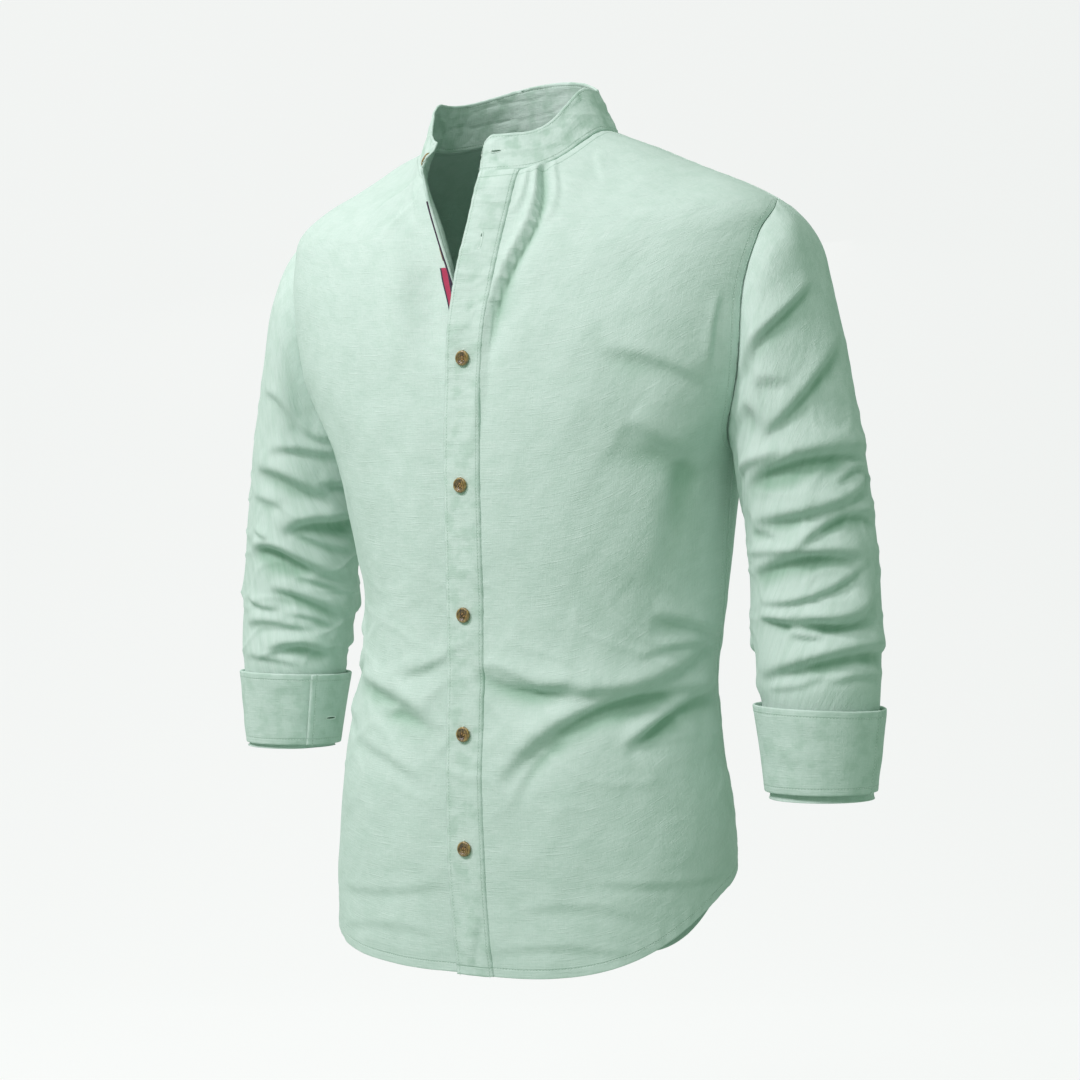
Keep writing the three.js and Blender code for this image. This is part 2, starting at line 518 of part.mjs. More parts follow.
function collarPoint(height, column) {
  const last = COLLAR_COLUMNS - COLLAR_ROLL_COLUMNS;
  const fromStart = Math.min(column / last, 1);
  const share = fromStart * (1 - 0.6 * (1 - fromStart) ** 3);
  const angle = lerp(COLLAR_LEFT_ANGLE, COLLAR_RIGHT_ANGLE, share);
  const rest = (Math.max(column - last, 0) * ROLL_WIDTH) / COLLAR_ROLL_COLUMNS;
  const fromLeft = (COLLAR_LEFT_ANGLE - angle) * COLLAR_DEGREE;
  const fromRight = ROLL_WIDTH - rest + (angle - COLLAR_RIGHT_ANGLE) * COLLAR_DEGREE;
  const fromEnd = clamp(Math.min(fromLeft, fromRight) / COLLAR_CORNER, 0, 1);
  const corner = 0.45 * (1 - Math.sqrt(1 - (1 - fromEnd) ** 2));
  let bottom = bodyPoint(angle, NECK_RING);
  let top = collarTopPoint(angle);
  if (rest > 0) {
    const along = collarTopPoint(angle - 0.4).sub(collarTopPoint(angle + 0.4)).setZ(0).normalize();
    const out = along.clone().cross(new THREE.Vector3(0, 0, 1));
    bottom = frontEdgePoint(-1, NECK_RING, ROLL_WIDTH - rest);
    top = rolled(top, along, out, COLLAR_END_TURN, rest);
    top.z -= COLLAR_END_DROP * smooth(0, ROLL_WIDTH, rest);
  }
  bottom.z += COLLAR_SEAM * (1 + COLLAR_END_RISE * smooth(0, 12, rest));
  return bottom.lerp(top, height * (1 - corner));
}
const collarHeights = count(COLLAR_ROWS + 1).map((i) => i / COLLAR_ROWS);
const collar = surfaceGrid(collarPoint, collarHeights, count(COLLAR_COLUMNS + 1), 1);
addCloth("collar_band", collar, { facing: 1, lift: COLLAR_LIFT, wall: COLLAR_WALL });

// Turned-back cuffs, each a band wrapped round the sleeve with its free end on top
const cuffTurn = 360 + CUFF_OVERLAP;
[1, -1].forEach((sign) => {
  const cuff = CUFFS[sign];
  const surface = (height, column) => {
    const share = column / CUFF_COLUMNS;
    const angle = cuff.end + cuffTurn * share;
    const point = sleevePoint(sign, angle, lerp(cuff.bottom, cuff.top, height));
    const rise = Math.sin((Math.PI * height) / 2);
    const stand = lerp(cuff.bottomStand, cuff.topStand, rise) - CUFF_OVERLAP_STEP * share;
    point.x += sign * stand * Math.cos(radians(angle));
    point.y -= stand * Math.sin(radians(angle));
    return point;
  };
  const grid = surfaceGrid(surface, [0, 0.3, 0.65, 1], count(CUFF_COLUMNS + 1), -sign);
  addCloth(sign > 0 ? "cuff_left" : "cuff_right", grid, { facing: -sign, wall: CUFF_WALL });
});

// Contrast tape on the right band, where the open front shows it. It slants under the left placket.
function onRightBand(row, distance) {
  const band = BAND_COLUMNS[-1];
  const j = band.findLastIndex((value) => value <= distance);
  const t = (distance - band[j]) / (band[j + 1] - band[j]);
  const between = (grid) => grid[row][j].clone().lerp(grid[row][j + 1], t);
  return { point: between(rightFront.points), normal: between(rightFront.normals).normalize() };
}
const isTapeLevel = (level) => level > TAPE_LEVELS.low && level < TAPE_LEVELS.high;
const tapeRows = count(BODY_LEVELS.length).filter((i) => isTapeLevel(BODY_LEVELS[i]));
const tapePlaces = tapeRows.map((row) => {
  const share = smooth(TAPE_ENDS.low.level, TAPE_ENDS.high.level, BODY_LEVELS[row]);
  const outer = lerp(TAPE_ENDS.low.distance, TAPE_ENDS.high.distance, share);
  return [3, 2, 1, 0].map((third) => onRightBand(row, outer - (third * TAPE_WIDTH) / 3));
});
const tape = {
  points: tapePlaces.map((places) => places.map(({ point }) => point)),
  normals: tapePlaces.map((places) => places.map(({ normal }) => normal)),
};
addCloth("contrast_tape", tape, { facing: -1, lift: TAPE_GAP + TAPE_WALL, wall: TAPE_WALL, look: TAPE });

// Buttons: a turned disc with a raised rim, set with its back to the cloth
function addButton(name, point, normal, gap) {
  const r = BUTTON_RADIUS;
  const t = BUTTON_THICKNESS;
  const side = [[0, 0], [r * 0.7, 0], [r, t * 0.4]];
  const rim = [[r * 0.94, t * 0.85], [r * 0.78, t], [r * 0.55, t * 0.6], [0, t * 0.6]];
  const profile = [...side, ...rim].map(([x, y]) => new THREE.Vector2(x, y));
  const geometry = new THREE.LatheGeometry(profile, BUTTON_SIDES);
  const mesh = addMesh(name, geometry, BUTTON);
  mesh.quaternion.setFromUnitVectors(new THREE.Vector3(0, 1, 0), normal);
  mesh.position.copy(point).addScaledVector(normal, gap);
}

const centre = {
  points: leftFront.points.map((row) => row[1]),
  normals: leftFront.normals.map((row) => row[1]),
};
BUTTON_HEIGHTS.forEach((z, k) => {
  const i = centre.points.findIndex((p) => p.z > z) - 1;
  const t = (z - centre.points[i].z) / (centre.points[i + 1].z - centre.points[i].z);
  const point = centre.points[i].clone().lerp(centre.points[i + 1], t);
  const normal = centre.normals[i].clone().lerp(centre.normals[i + 1], t).normalize();
  addButton(`button_${5 - k}`, point, normal, bandLift + BUTTON_GAP);
});
const openRow = BODY_LEVELS.findIndex((level) => level > OPEN_BUTTON_LEVEL);
const openPoint = rightFront.points[openRow][OPEN_BUTTON_COLUMN];
addButton("button_6", openPoint, rightFront.normals[openRow][OPEN_BUTTON_COLUMN], OPEN_BUTTON_GAP);
const endColumn = COLLAR_COLUMNS - 2;
const collarPlace = collarPoint(COLLAR_BUTTON_HEIGHT, endColumn);
addButton("button_7", collarPlace, collar.normals[1][endColumn], COLLAR_BUTTON_GAP);

export default shirt;
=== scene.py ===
import math

import bpy
import numpy as np
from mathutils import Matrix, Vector


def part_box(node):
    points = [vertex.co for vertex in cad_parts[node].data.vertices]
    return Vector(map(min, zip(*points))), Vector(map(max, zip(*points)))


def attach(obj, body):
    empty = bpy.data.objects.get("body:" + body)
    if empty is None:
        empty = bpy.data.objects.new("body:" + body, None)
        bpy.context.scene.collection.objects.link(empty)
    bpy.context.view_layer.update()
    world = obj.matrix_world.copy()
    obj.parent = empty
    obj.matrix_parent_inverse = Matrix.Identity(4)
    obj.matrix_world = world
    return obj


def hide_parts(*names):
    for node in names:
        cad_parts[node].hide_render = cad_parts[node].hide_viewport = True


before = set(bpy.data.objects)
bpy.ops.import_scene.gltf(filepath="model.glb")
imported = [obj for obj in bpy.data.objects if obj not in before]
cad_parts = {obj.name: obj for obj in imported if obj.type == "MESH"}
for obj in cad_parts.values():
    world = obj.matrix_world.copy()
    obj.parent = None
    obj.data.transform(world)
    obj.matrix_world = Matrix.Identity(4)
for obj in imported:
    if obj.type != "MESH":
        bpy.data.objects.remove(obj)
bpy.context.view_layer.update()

MM = 0.001


def in_scene(name, data):
    """A new object of the scene."""
    made = bpy.data.objects.new(name, data)
    bpy.context.scene.collection.objects.link(made)
    return made


def evaluated_mesh(source):
    """A plain mesh of an object with its modifiers applied."""
    depsgraph = bpy.context.evaluated_depsgraph_get()
    return bpy.data.meshes.new_from_object(source.evaluated_get(depsgraph), depsgraph=depsgraph)


# Camera at the photograph's angle, level with the middle of the shirt
CAMERA_AZIMUTH = math.radians(30)
CAMERA_DISTANCE = 1.95
CAMERA_HEIGHT = -0.343
CAMERA_LENS = 76.47
SENSOR = 36

camera_data = bpy.data.cameras.new("camera")
camera_data.lens = CAMERA_LENS
camera_data.sensor_width = SENSOR
camera = in_scene("camera", camera_data)
backward = Vector((math.sin(CAMERA_AZIMUTH), -math.cos(CAMERA_AZIMUTH), 0))
camera.location = backward * CAMERA_DISTANCE + Vector((0, 0, CAMERA_HEIGHT))
camera.rotation_euler = (-backward).to_track_quat("-Z", "Y").to_euler()
bpy.context.scene.camera = camera
bpy.context.scene.view_settings.view_transform = "Standard"


# Sizes of the cloth, in millimetres
WALL = 0.8
PLACKET_WIDTH = 34
PLACKET_LIFT = 1.55
PLACKET_WALL = 1.1
PLACKET_LEFT_WALL = 1.5
PLACKET_RIGHT_LIFT = -1.0
ROLL_WIDTH = 20
TAPE_WIDTH = 9
TAPE_LIFT = 1.15
TAPE_WALL = 0.7
COLLAR_LIFT = 0.6
COLLAR_WALL = 2.2
CUFF_WALL = 2.0
CUFF_TURN = 390
CUFF_SPIRAL = 2.9

# Distances of the stitching from the edges, in millimetres, and how far up a panel the side seam's row runs
HEM_STITCH = 7
SEAM_STITCH = 7.5
SEAM_STITCH_TOP = 0.84
EDGE_STITCH = 1.6
BAND_STITCH = 3
CUFF_STITCH = 5.5
STITCH_PITCH = 2.6

# The edges of a piece by the lines of its grid
SIDES = ("first_column", "last_column")
ENDS = ("first_row", "last_row")


def table(names, *rows):
    """A short table as named columns."""
    return dict(zip(names.split(), np.array(rows, float).T))


# Rings round the body from hem to neck, as in the solids
BODY = table(
    "frontZ frontY leftX rightX leftZ rightZ backZ backY sideY square frontCurve backCurve seamBack",
    (-692, -121, 176, 184, -612, -650, -706, 100, 0, 2.2, 3.4, 3.4, 22),
    (-625, -124, 175, 184, -566, -590, -634, 100, 0, 2.2, 3, 3, 19),
    (-545, -126, 166, 174, -512, -524, -550, 96, 0, 2.2, 2.5, 2.5, 14),
    (-470, -124, 160, 162, -458, -460, -470, 90, 0, 2.2, 2, 2, 9),
    (-400, -124, 167, 153, -398, -398, -398, 88, 0, 2.2, 2, 2, 5),
    (-330, -127, 174, 165, -334, -334, -326, 96, 0, 2.3, 2, 2, 2),
    (-268, -129, 183, 183, -270, -270, -258, 108, 0, 2.4, 2, 2, 0),
    (-215, -128, 216, 216, -206, -206, -192, 114, 0, 2.4, 2, 2, 0),
    (-170, -125, 229, 229, -142, -142, -128, 111, 0, 2.4, 2, 2, 0),
    (-130, -120, 233, 233, -98, -98, -76, 98, 0, 2.3, 2.4, 1.8, 0),
    (-98, -115, 223, 223, -70, -67, -42, 78, -2, 2.2, 3.2, 1.6, 0),
    (-70, -111, 155, 155, -38, -36, -14, 58, -16, 2.2, 4, 1.6, 0),
    (-45, -107, 83, 86, -7, -9, 12, 40, -33, 2.1, 4.6, 2, 0),
)
ARMPIT_RING = 6
SHOULDER_RING = 10
NECK_RING = 12
ARMHOLE_ANGLE = {"front": 22, "back": 24}
ARMHOLE_SQUARE = 0.6

# The two front edges at the same rings
EDGES = table(
    "leftX leftLift rightX rightSink rightTurn",
    (-7, 0, 4, 2.8, 0),
    (-12, 0, -1, 2.8, 0),
    (-15, 0, -3, 2.8, 0),
    (-15, 0, -3, 2.8, 0),
    (-15, 0, -3, 2.8, 0),
    (-15, 0, -3, 2.8, 0),
    (-15, 0, -3, 2.8, 0),
    (-14, 0.5, -7, 4, 0),
    (-11, 4, -20, 9, 30),
    (-6.5, 6, -24, 11, 108),
    (-2, 5, -36, 11, 130),
    (2.5, 3, -50, 9, 112),
    (5, 0, -62, 0, 72),
)

# Rings round the left arm from armhole to cuff
SLEEVE = table(
    "outX outZ inX inZ frontY backY",
    (223, -70, 183, -270, -57, 56),
    (242, -88, 189, -284, -62, 62),
    (255, -120, 193, -300, -64, 64),
    (268, -168, 196, -322, -62, 64),
    (280, -228, 198, -346, -58, 63),
    (292, -288, 199, -374, -54, 61),
    (299, -345, 200, -404, -50, 58),
    (303, -402, 203, -436, -46, 55),
    (303, -456, 208, -468, -43, 52),
    (300, -504, 213, -508, -38, 48),
    (297, -541, 215, -542, -35, 46),
    (299, -549, 213, -550, -37, 48),
)
SLEEVE_END = 11
SLEEVE_LIP = 10.6
CUFF_COVER = (7.7, 8.15)
ARMHOLE_BLEND_RINGS = 4
RIGHT_ARM = {"raise": 22, "outward": 9, "narrow": 3}
CUFFS = {
    1: {"bottom": 10.05, "top": 8.25, "bottom_stand": 5.8, "top_stand": 8, "end": 5, "tilt": (-0.1, 0.16)},
    -1: {"bottom": 10.05, "top": 8.1, "bottom_stand": 5.9, "top_stand": 6.4, "end": 142, "tilt": (0, 0.18)},
}
COLLAR = {"frontZ": -14, "frontY": -98, "leftX": 66, "rightX": 74, "sideZ": 28, "backZ": 50, "backY": 27}
COLLAR_CURVE = {"left": 6, "right": 8.5, "back": 2}
COLLAR_MIDDLE = -38
COLLAR_END_TURN = 78
COLLAR_END_DROP = 11
COLLAR_CORNER = 10
COLLAR_ROUNDING = 0.45
COLLAR_DEGREE = 1.4
COLLAR_SQUARE = 0.95
COLLAR_SEAM = -1.2

# Folds through three points. The ridge lies on the left of the way they run, seen from outside.
FOLD_COLUMNS = "from_turn from_at by_turn by_at to_turn to_at width depth"
TORSO_FOLDS = table(
    FOLD_COLUMNS,
    (81, -540, 50, -474, -4, -462, 9, 4.5),
    (88, -436, 46, -460, 0, -418, 11, 4.2),
    (42, -512, 20, -477, -8, -460, 8, 3.2),
    (32, -401, 16, -408, -6, -419, 8, 2.6),
    (143, -457, 117, -468, 100, -487, 9, 3.2),
    (184, -418, 165, -424, 150, -420, 11, 3),
    (275, -436, 240, -446, 205, -430, 13, 4),
    (338, -412, 300, -426, 262, -410, 13, 4),
    (62, -192, 45.5, -202, 28, -220, 10, 2.0),
    (29, -208, 31, -178, 30, -150, 4, 1.3),
    (48, -246, 33, -264, 12, -286, 16, 3),
    (86, -446, 72, -460, 56, -452, 5, 1.6),
    (42, -506, 32, -492, 20, -478, 4.5, 1.6),
    (38, -437, 18, -426, -3, -430, 5, 1.4),
    (76, -556, 70, -520, 60, -500, 5, 1.2),
    (112, -452, 102, -446, 94, -436, 5, 1.6),
    (126, -486, 108, -484, 96, -500, 5, 1.2),
    (138, -506, 116, -520, 100, -540, 7, 1.2),
    (176, -448, 156, -452, 140, -440, 6, 1.6),
    (172, -494, 152, -490, 136, -500, 7, 1.2),
    (56, -612, 30, -616, 0, -613, 3, 0.7),
    (86, -674, 64, -665, 42, -672, 4, 0.7),
    (76, -640, 58, -632, 36, -644, 5, 0.7),
    (146, -636, 112, -631, 95, -618, 5, 0.7),
    (142, -672, 112, -659, 96, -667, 4, 0.6),
    (34, -380, 30, -300, 20, -250, 16, 1.4),
    (58, -270, 30, -262, 8, -230, 14, 1.0),
    (150, -230, 140, -280, 136, -360, 15, 1.2),
    (175, -300, 160, -330, 148, -380, 9, 1.0),
    (88, -684, 87, -660, 86, -640, 4, 0.8),
    (262, -478, 232, -486, 208, -470, 8, 2),
    (284, -402, 250, -412, 226, -404, 8, 1.8),
    (336, -462, 304, -470, 280, -456, 8, 2.2),
    (262, -336, 236, -330, 212, -300, 14, 1.4),
    (326, -296, 300, -326, 278, -336, 14, 1.4),
    (266, -250, 252, -170, 240, -140, 14, 1.2),
    (300, -140, 288, -170, 274, -250, 14, 1.2),
    (268, -550, 240, -556, 216, -540, 10, 1.2),
    (330, -540, 306, -544, 290, -560, 10, 1.2),
    (254, -690, 256, -640, 250, -600, 12, 1.2),
    (298, -600, 294, -640, 296, -680, 12, 1.2),
)
NECK_FOLDS = table(
    FOLD_COLUMNS,
    (86.6, -200, 76, -88, 44, -36, 4.6, 4.2),
    (87, -262, 86.4, -200, 85.4, -145, 3, 1.5),
    (80, -84, 71, -62, 60, -45, 2.6, 1.8),
    (76, -98, 60, -62, 42, -36, 2.6, 1),
    (24, -27, 34, -40, 44, -58, 4, 0.5),
    (128, -40, 120, -60, 112, -92, 3, 1.4),
    (140, -32, 134, -50, 124, -80, 4, 1.0),
    (255, 8, 250, -10, 244, -50, 5, 1.0),
    (285, 8, 290, -10, 297, -50, 5, 1.0),
)
LEFT_SLEEVE_FOLDS = table(
    FOLD_COLUMNS,
    (96, 3.3, 50, 3.6, -5, 3.2, 7, 2.6),
    (130, 3.2, 50, 4.45, -24, 4.65, 10, 4.5),
    (84, 5.6, 40, 5.5, -24, 5.65, 7, 3),
    (136, 5.2, 66, 5.8, 12, 6.2, 8, 3.5),
    (126, 6.3, 50, 6.9, 4, 6.6, 9, 4),
    (134, 7.55, 40, 7.42, -22, 7.5, 9, 4.5),
    (310, 4.9, 250, 5.1, 200, 4.6, 10, 4),
    (300, 6.1, 240, 6.4, 190, 6.1, 10, 4),
    (124, 0.2, 79, 1.95, 20, 2.3, 6, 2.6),
    (96, 2.3, 80, 2.8, 62, 3.3, 6, 1.6),
    (144, 0.5, 108, 2.3, 74, 3.9, 8, 1.8),
    (150, 2.2, 112, 3.3, 78, 4.0, 6, 2),
    (38, 5.05, 12, 4.95, -18, 4.95, 5, 2),
    (126, 4.2, 50, 5.25, -16, 4.9, 8, 3.4),
    (126, 4.4, 108, 4.8, 90, 5.3, 4, 1.4),
    (134, 4.75, 92, 5.45, 52, 5.95, 5, 1.6),
    (122, 6.0, 70, 6.45, 6, 6.2, 5, 2.2),
    (124, 6.35, 104, 6.55, 88, 6.75, 4, 1.6),
    (78, 6.7, 44, 7.0, 10, 6.95, 5, 2.2),
    (94, 6.9, 78, 7.05, 62, 7.15, 4, 1.6),
    (60, 7.9, 26, 7.85, -20, 7.95, 5, 2),
    (124, 7.85, 92, 7.9, 64, 7.75, 5, 1.6),
    (166, 3.4, 160, 2.2, 148, 1.2, 7, 1.6),
    (224, 4.4, 190, 4.6, 160, 4.3, 7, 2),
    (222, 6.8, 184, 6.9, 150, 6.7, 7, 2.2),
    (300, 5.5, 262, 5.8, 226, 5.6, 6, 1.6),
    (304, 7.2, 250, 7.4, 200, 7.2, 8, 2.6),
    (300, 3.4, 262, 3.6, 230, 3.2, 9, 1.8),
    (330, 2.4, 290, 1.6, 250, 0.6, 12, 1.2),
)
RIGHT_SLEEVE_FOLDS = table(
    FOLD_COLUMNS,
    (64, 4.4, 119, 3.3, 156, 2.5, 9, 3.5),
    (104, 4.95, 146, 3.6, 192, 2.8, 9, 4.5),
    (62, 5.9, 116, 5.2, 184, 5.15, 9, 4.5),
    (92, 6.3, 141, 6.05, 178, 6.35, 8, 3.5),
    (56, 7.3, 104, 6.95, 144, 6.85, 7, 2.5),
    (92, 7.75, 128, 7.3, 168, 7.45, 8, 4),
    (200, 4.6, 250, 5.1, 310, 4.9, 10, 4),
    (210, 6.2, 255, 6.5, 320, 6.2, 10, 4),
    (70, 2.95, 100, 2.2, 130, 1.35, 6, 1.6),
    (82, 3.7, 124, 2.3, 158, 0.4, 6, 2),
    (120, 1.6, 134, 1.2, 150, 0.1, 6, 1.6),
    (142, 2.5, 162, 1.9, 180, 1.35, 6, 1.8),
    (70, 5.4, 82, 5.35, 94, 5.2, 4, 1.4),
    (60, 6.75, 84, 6.75, 106, 6.6, 5, 1.8),
    (120, 5.7, 150, 5.5, 180, 5.6, 5, 1.8),
    (62, 4.9, 84, 4.6, 108, 4.2, 6, 1.6),
    (120, 4.6, 150, 4.3, 186, 4.2, 6, 1.8),
    (110, 6.7, 140, 6.55, 170, 6.7, 5, 1.6),
    (56, 7.95, 96, 7.85, 134, 7.95, 5, 1.8),
    (226, 5.6, 262, 5.8, 300, 5.5, 6, 1.6),
    (200, 7.2, 250, 7.4, 304, 7.2, 8, 2.6),
    (230, 3.2, 262, 3.6, 300, 3.4, 9, 1.8),
    (190, 3.4, 214, 3.7, 240, 3.6, 8, 1.8),
    (-20, 3.6, 10, 3.9, 40, 3.8, 9, 2),
    (-24, 5.1, 6, 5.3, 40, 5.2, 7, 2),
    (-24, 6.7, 8, 6.9, 44, 6.8, 7, 2),
)


def smooth(start, end, value):
    t = np.clip((value - start) / (end - start), 0, 1)
    return t * t * (3 - 2 * t)


def mix(a, b, share):
    return a + (b - a) * share


def circle(degrees):
    """Cosine and sine of an angle."""
    return np.cos(np.radians(degrees)), np.sin(np.radians(degrees))


def squared(value, power):
    """A power that keeps the sign, which makes a circle's line squarer or rounder."""
    return np.sign(value) * np.abs(value) ** power


def on_curve(column, level):
    """A column of a table of rings at any level, on a smooth curve through its rows."""
    last = len(column) - 1
    i = np.clip(np.floor(level).astype(int), 0, last - 1)
    t = level - i
    a, b, c, d = (column[np.clip(i + k, 0, last)] for k in (-1, 0, 1, 2))
    t2 = t * t
    t3 = t2 * t
    rise = (2 * t3 - 3 * t2 + 1) * b + (t3 - 2 * t2 + t) * (c - a) / 2
    return rise + (3 * t2 - 2 * t3) * c + (t3 - t2) * (d - b) / 2


def half_width(side, level):
    """The body's half width on the left where side is 0 or more, and on the right elsewhere."""
    return np.where(side >= 0, on_curve(BODY["leftX"], level), on_curve(BODY["rightX"], level))


def body(angle, level):
    """Points on the body's rings, in mm: angle 0 is the wearer's left side, 90 the front, 270 the back."""
    angle, level = np.broadcast_arrays(np.asarray(angle, float), np.asarray(level, float))
    at = {name: on_curve(column, level) for name, column in BODY.items()}
    turned = np.mod(angle, 360)
    c, s = circle(turned)
    power = 2 / at["square"]
    end_y = np.where(s >= 0, at["frontY"], at["backY"])
    behind = at["seamBack"]
    in_front = (turned <= 180 + behind) | (turned >= 360 - behind)
    from_end = np.where(in_front, np.mod(turned + 90, 360) - 180, turned - 270)
    seam_angle = from_end * 90 / np.where(in_front, 90 + behind, 90 - behind)
    curve = np.where(in_front, at["frontCurve"], at["backCurve"])
    share = np.abs(np.sin(np.radians(seam_angle))) ** curve
    on_left = np.where(in_front, from_end < 0, from_end > 0)
    end_z = np.where(in_front, at["frontZ"], at["backZ"])
    side_z = np.where(on_left, at["leftZ"], at["rightZ"])
    x = half_width(c, level) * squared(c, power)
    y = at["sideY"] + (end_y - at["sideY"]) * np.abs(s) ** power
    return np.stack([x, y, mix(end_z, side_z, share)], -1)


def angle_at_x(x, level):
    share = (np.abs(x) / half_width(x, level)) ** (on_curve(BODY["square"], level) / 2)
    return np.degrees(np.arccos(np.clip(np.sign(x) * share, -1, 1)))


def armhole_angle(share, side):
    return ARMHOLE_ANGLE[side] * np.maximum(np.sin(np.pi * share), 0) ** ARMHOLE_SQUARE


def outer_angle(level, side):
    """The outer edge of a panel in degrees from the side line."""
    share = np.clip((level - ARMPIT_RING) / (SHOULDER_RING - ARMPIT_RING), 0, 1)
    behind = np.where(level < ARMPIT_RING, on_curve(BODY["seamBack"], level), 0)
    return armhole_angle(share, side) + (-behind if side == "front" else behind)


def unit(vectors):
    return vectors / np.maximum(np.linalg.norm(vectors, axis=-1, keepdims=True), 1e-9)


def rolled(start, along, out, turn_degrees, rest):
    """Rolls the last cloth of an edge outwards from a start point."""
    turn = np.radians(np.maximum(turn_degrees, 0.5))
    radius = ROLL_WIDTH / turn
    turned = turn * rest / ROLL_WIDTH
    forward = (radius * np.sin(turned))[..., None] * along
    return start + forward + (radius * (1 - np.cos(turned)))[..., None] * out


def front_edge(sign, level, x, distance):
    """Cloth of a front panel at a given x, and its distance from the free edge."""
    step_x = 0.5
    step = 0.01
    start = body(angle_at_x(x, level), level)
    along = unit(body(angle_at_x(x + step_x, level), level) - body(angle_at_x(x - step_x, level), level))
    angle = angle_at_x(x, level)
    out = unit(np.cross(along, body(angle, level + step) - body(angle, level - step)))
    if sign > 0:
        lift = on_curve(EDGES["leftLift"], level) * (1 - smooth(0, 1.5 * PLACKET_WIDTH, distance))
        return start + lift[..., None] * out
    fade = 1 - smooth(PLACKET_WIDTH - 2, 2 * PLACKET_WIDTH, distance)
    sunk = start - (on_curve(EDGES["rightSink"], level) * fade)[..., None] * out
    rest = np.maximum(ROLL_WIDTH - distance, 0)
    return rolled(sunk, along, out, on_curve(EDGES["rightTurn"], level), rest)


# How far from its free edge, in mm, a front can be shaped by it
EDGE_REACH = 100
EDGE_LIMIT = 150


def front_points(sign, levels, band, shares):
    """Points of a front panel: columns across the band by distance, then by share of the way to the side."""
    level = levels[:, None]
    edge_x = on_curve(EDGES["leftX" if sign > 0 else "rightX"], level)
    folded = 0 if sign > 0 else ROLL_WIDTH
    band_x = edge_x + sign * np.maximum(band[None, :] - folded, 0)
    inner_x = edge_x + sign * (PLACKET_WIDTH - folded)
    outer = outer_angle(level, "front")
    angle = mix(angle_at_x(inner_x, level), outer if sign > 0 else 180 - outer, shares[None, :])
    panel = body(angle, level)
    panel_x = panel[..., 0]
    distance = np.broadcast_to(band[None, :], band_x.shape)
    rows = np.broadcast_to(level, band_x.shape)
    in_band = front_edge(sign, rows, band_x, distance)
    near = np.abs(panel_x - edge_x) + folded
    rows = np.broadcast_to(level, panel_x.shape)
    edged = front_edge(sign, rows, np.clip(panel_x, edge_x - EDGE_LIMIT, edge_x + EDGE_LIMIT), near)
    panel = np.where((near < EDGE_REACH)[..., None], edged, panel)
    return np.concatenate([in_band, panel], 1)


def sleeve_ring(angle, level):
    at = {name: on_curve(column, level) for name, column in SLEEVE.items()}
    c, s = circle(angle)
    x = (at["outX"] + at["inX"]) / 2 + c * (at["outX"] - at["inX"]) / 2
    y = (at["frontY"] + at["backY"]) / 2 - s * (at["backY"] - at["frontY"]) / 2
    z = (at["outZ"] + at["inZ"]) / 2 + c * (at["outZ"] - at["inZ"]) / 2
    return np.stack([x, y, z], -1)


def armhole(sign, angle):
    """The armhole's edge on the body, at the sleeve's own angle."""
    c, s = circle(angle)
    share = np.clip((1 + c) / 2, 0, 1)
    level = ARMPIT_RING + (SHOULDER_RING - ARMPIT_RING) * share
    on_left = np.where(s >= 0, armhole_angle(share, "front"), 360 - armhole_angle(share, "back"))
    return body(on_left if sign > 0 else 540 - on_left, level)


def sleeve(sign, angle, level):
    """Points on a sleeve: angle 0 is outside, 90 front, 180 inside and 270 back."""
    angle, level = np.broadcast_arrays(np.asarray(angle, float), np.asarray(level, float))
    points = sleeve_ring(angle, level)
    c, s = circle(angle)
    if sign < 0:
        along = np.clip(level / SLEEVE_END, 0, 1) ** 3
        points[..., 0] += (RIGHT_ARM["outward"] - RIGHT_ARM["narrow"] * c) * along
        points[..., 1] += RIGHT_ARM["narrow"] * s * along
        points[..., 2] += RIGHT_ARM["raise"] * along
    mirror = np.array([sign, 1, 1])
    hold = (1 - smooth(0, ARMHOLE_BLEND_RINGS, level))[..., None]
    start = sleeve_ring(angle, np.zeros_like(level)) * mirror
    return points * mirror + (armhole(sign, angle) - start) * hold


LEFT_COLLAR_ANGLE = float(angle_at_x(EDGES["leftX"][-1], np.float64(NECK_RING)))
RIGHT_COLLAR_ANGLE = float(angle_at_x(EDGES["rightX"][-1], np.float64(NECK_RING))) - 360


def collar_top(angle):
    c, s = circle(angle)
    front_curve = np.where(c >= 0, COLLAR_CURVE["left"], COLLAR_CURVE["right"])
    curve = np.abs(c) ** np.where(s < 0, COLLAR_CURVE["back"], front_curve)
    x = np.where(c >= 0, COLLAR["leftX"], COLLAR["rightX"]) * squared(c, COLLAR_SQUARE)
    end_y = np.where(s >= 0, COLLAR["frontY"], COLLAR["backY"])
    y = COLLAR_MIDDLE + (end_y - COLLAR_MIDDLE) * np.abs(s) ** COLLAR_SQUARE
    z = mix(np.where(s >= 0, COLLAR["frontZ"], COLLAR["backZ"]), COLLAR["sideZ"], curve)
    return np.stack([x, y, z], -1)


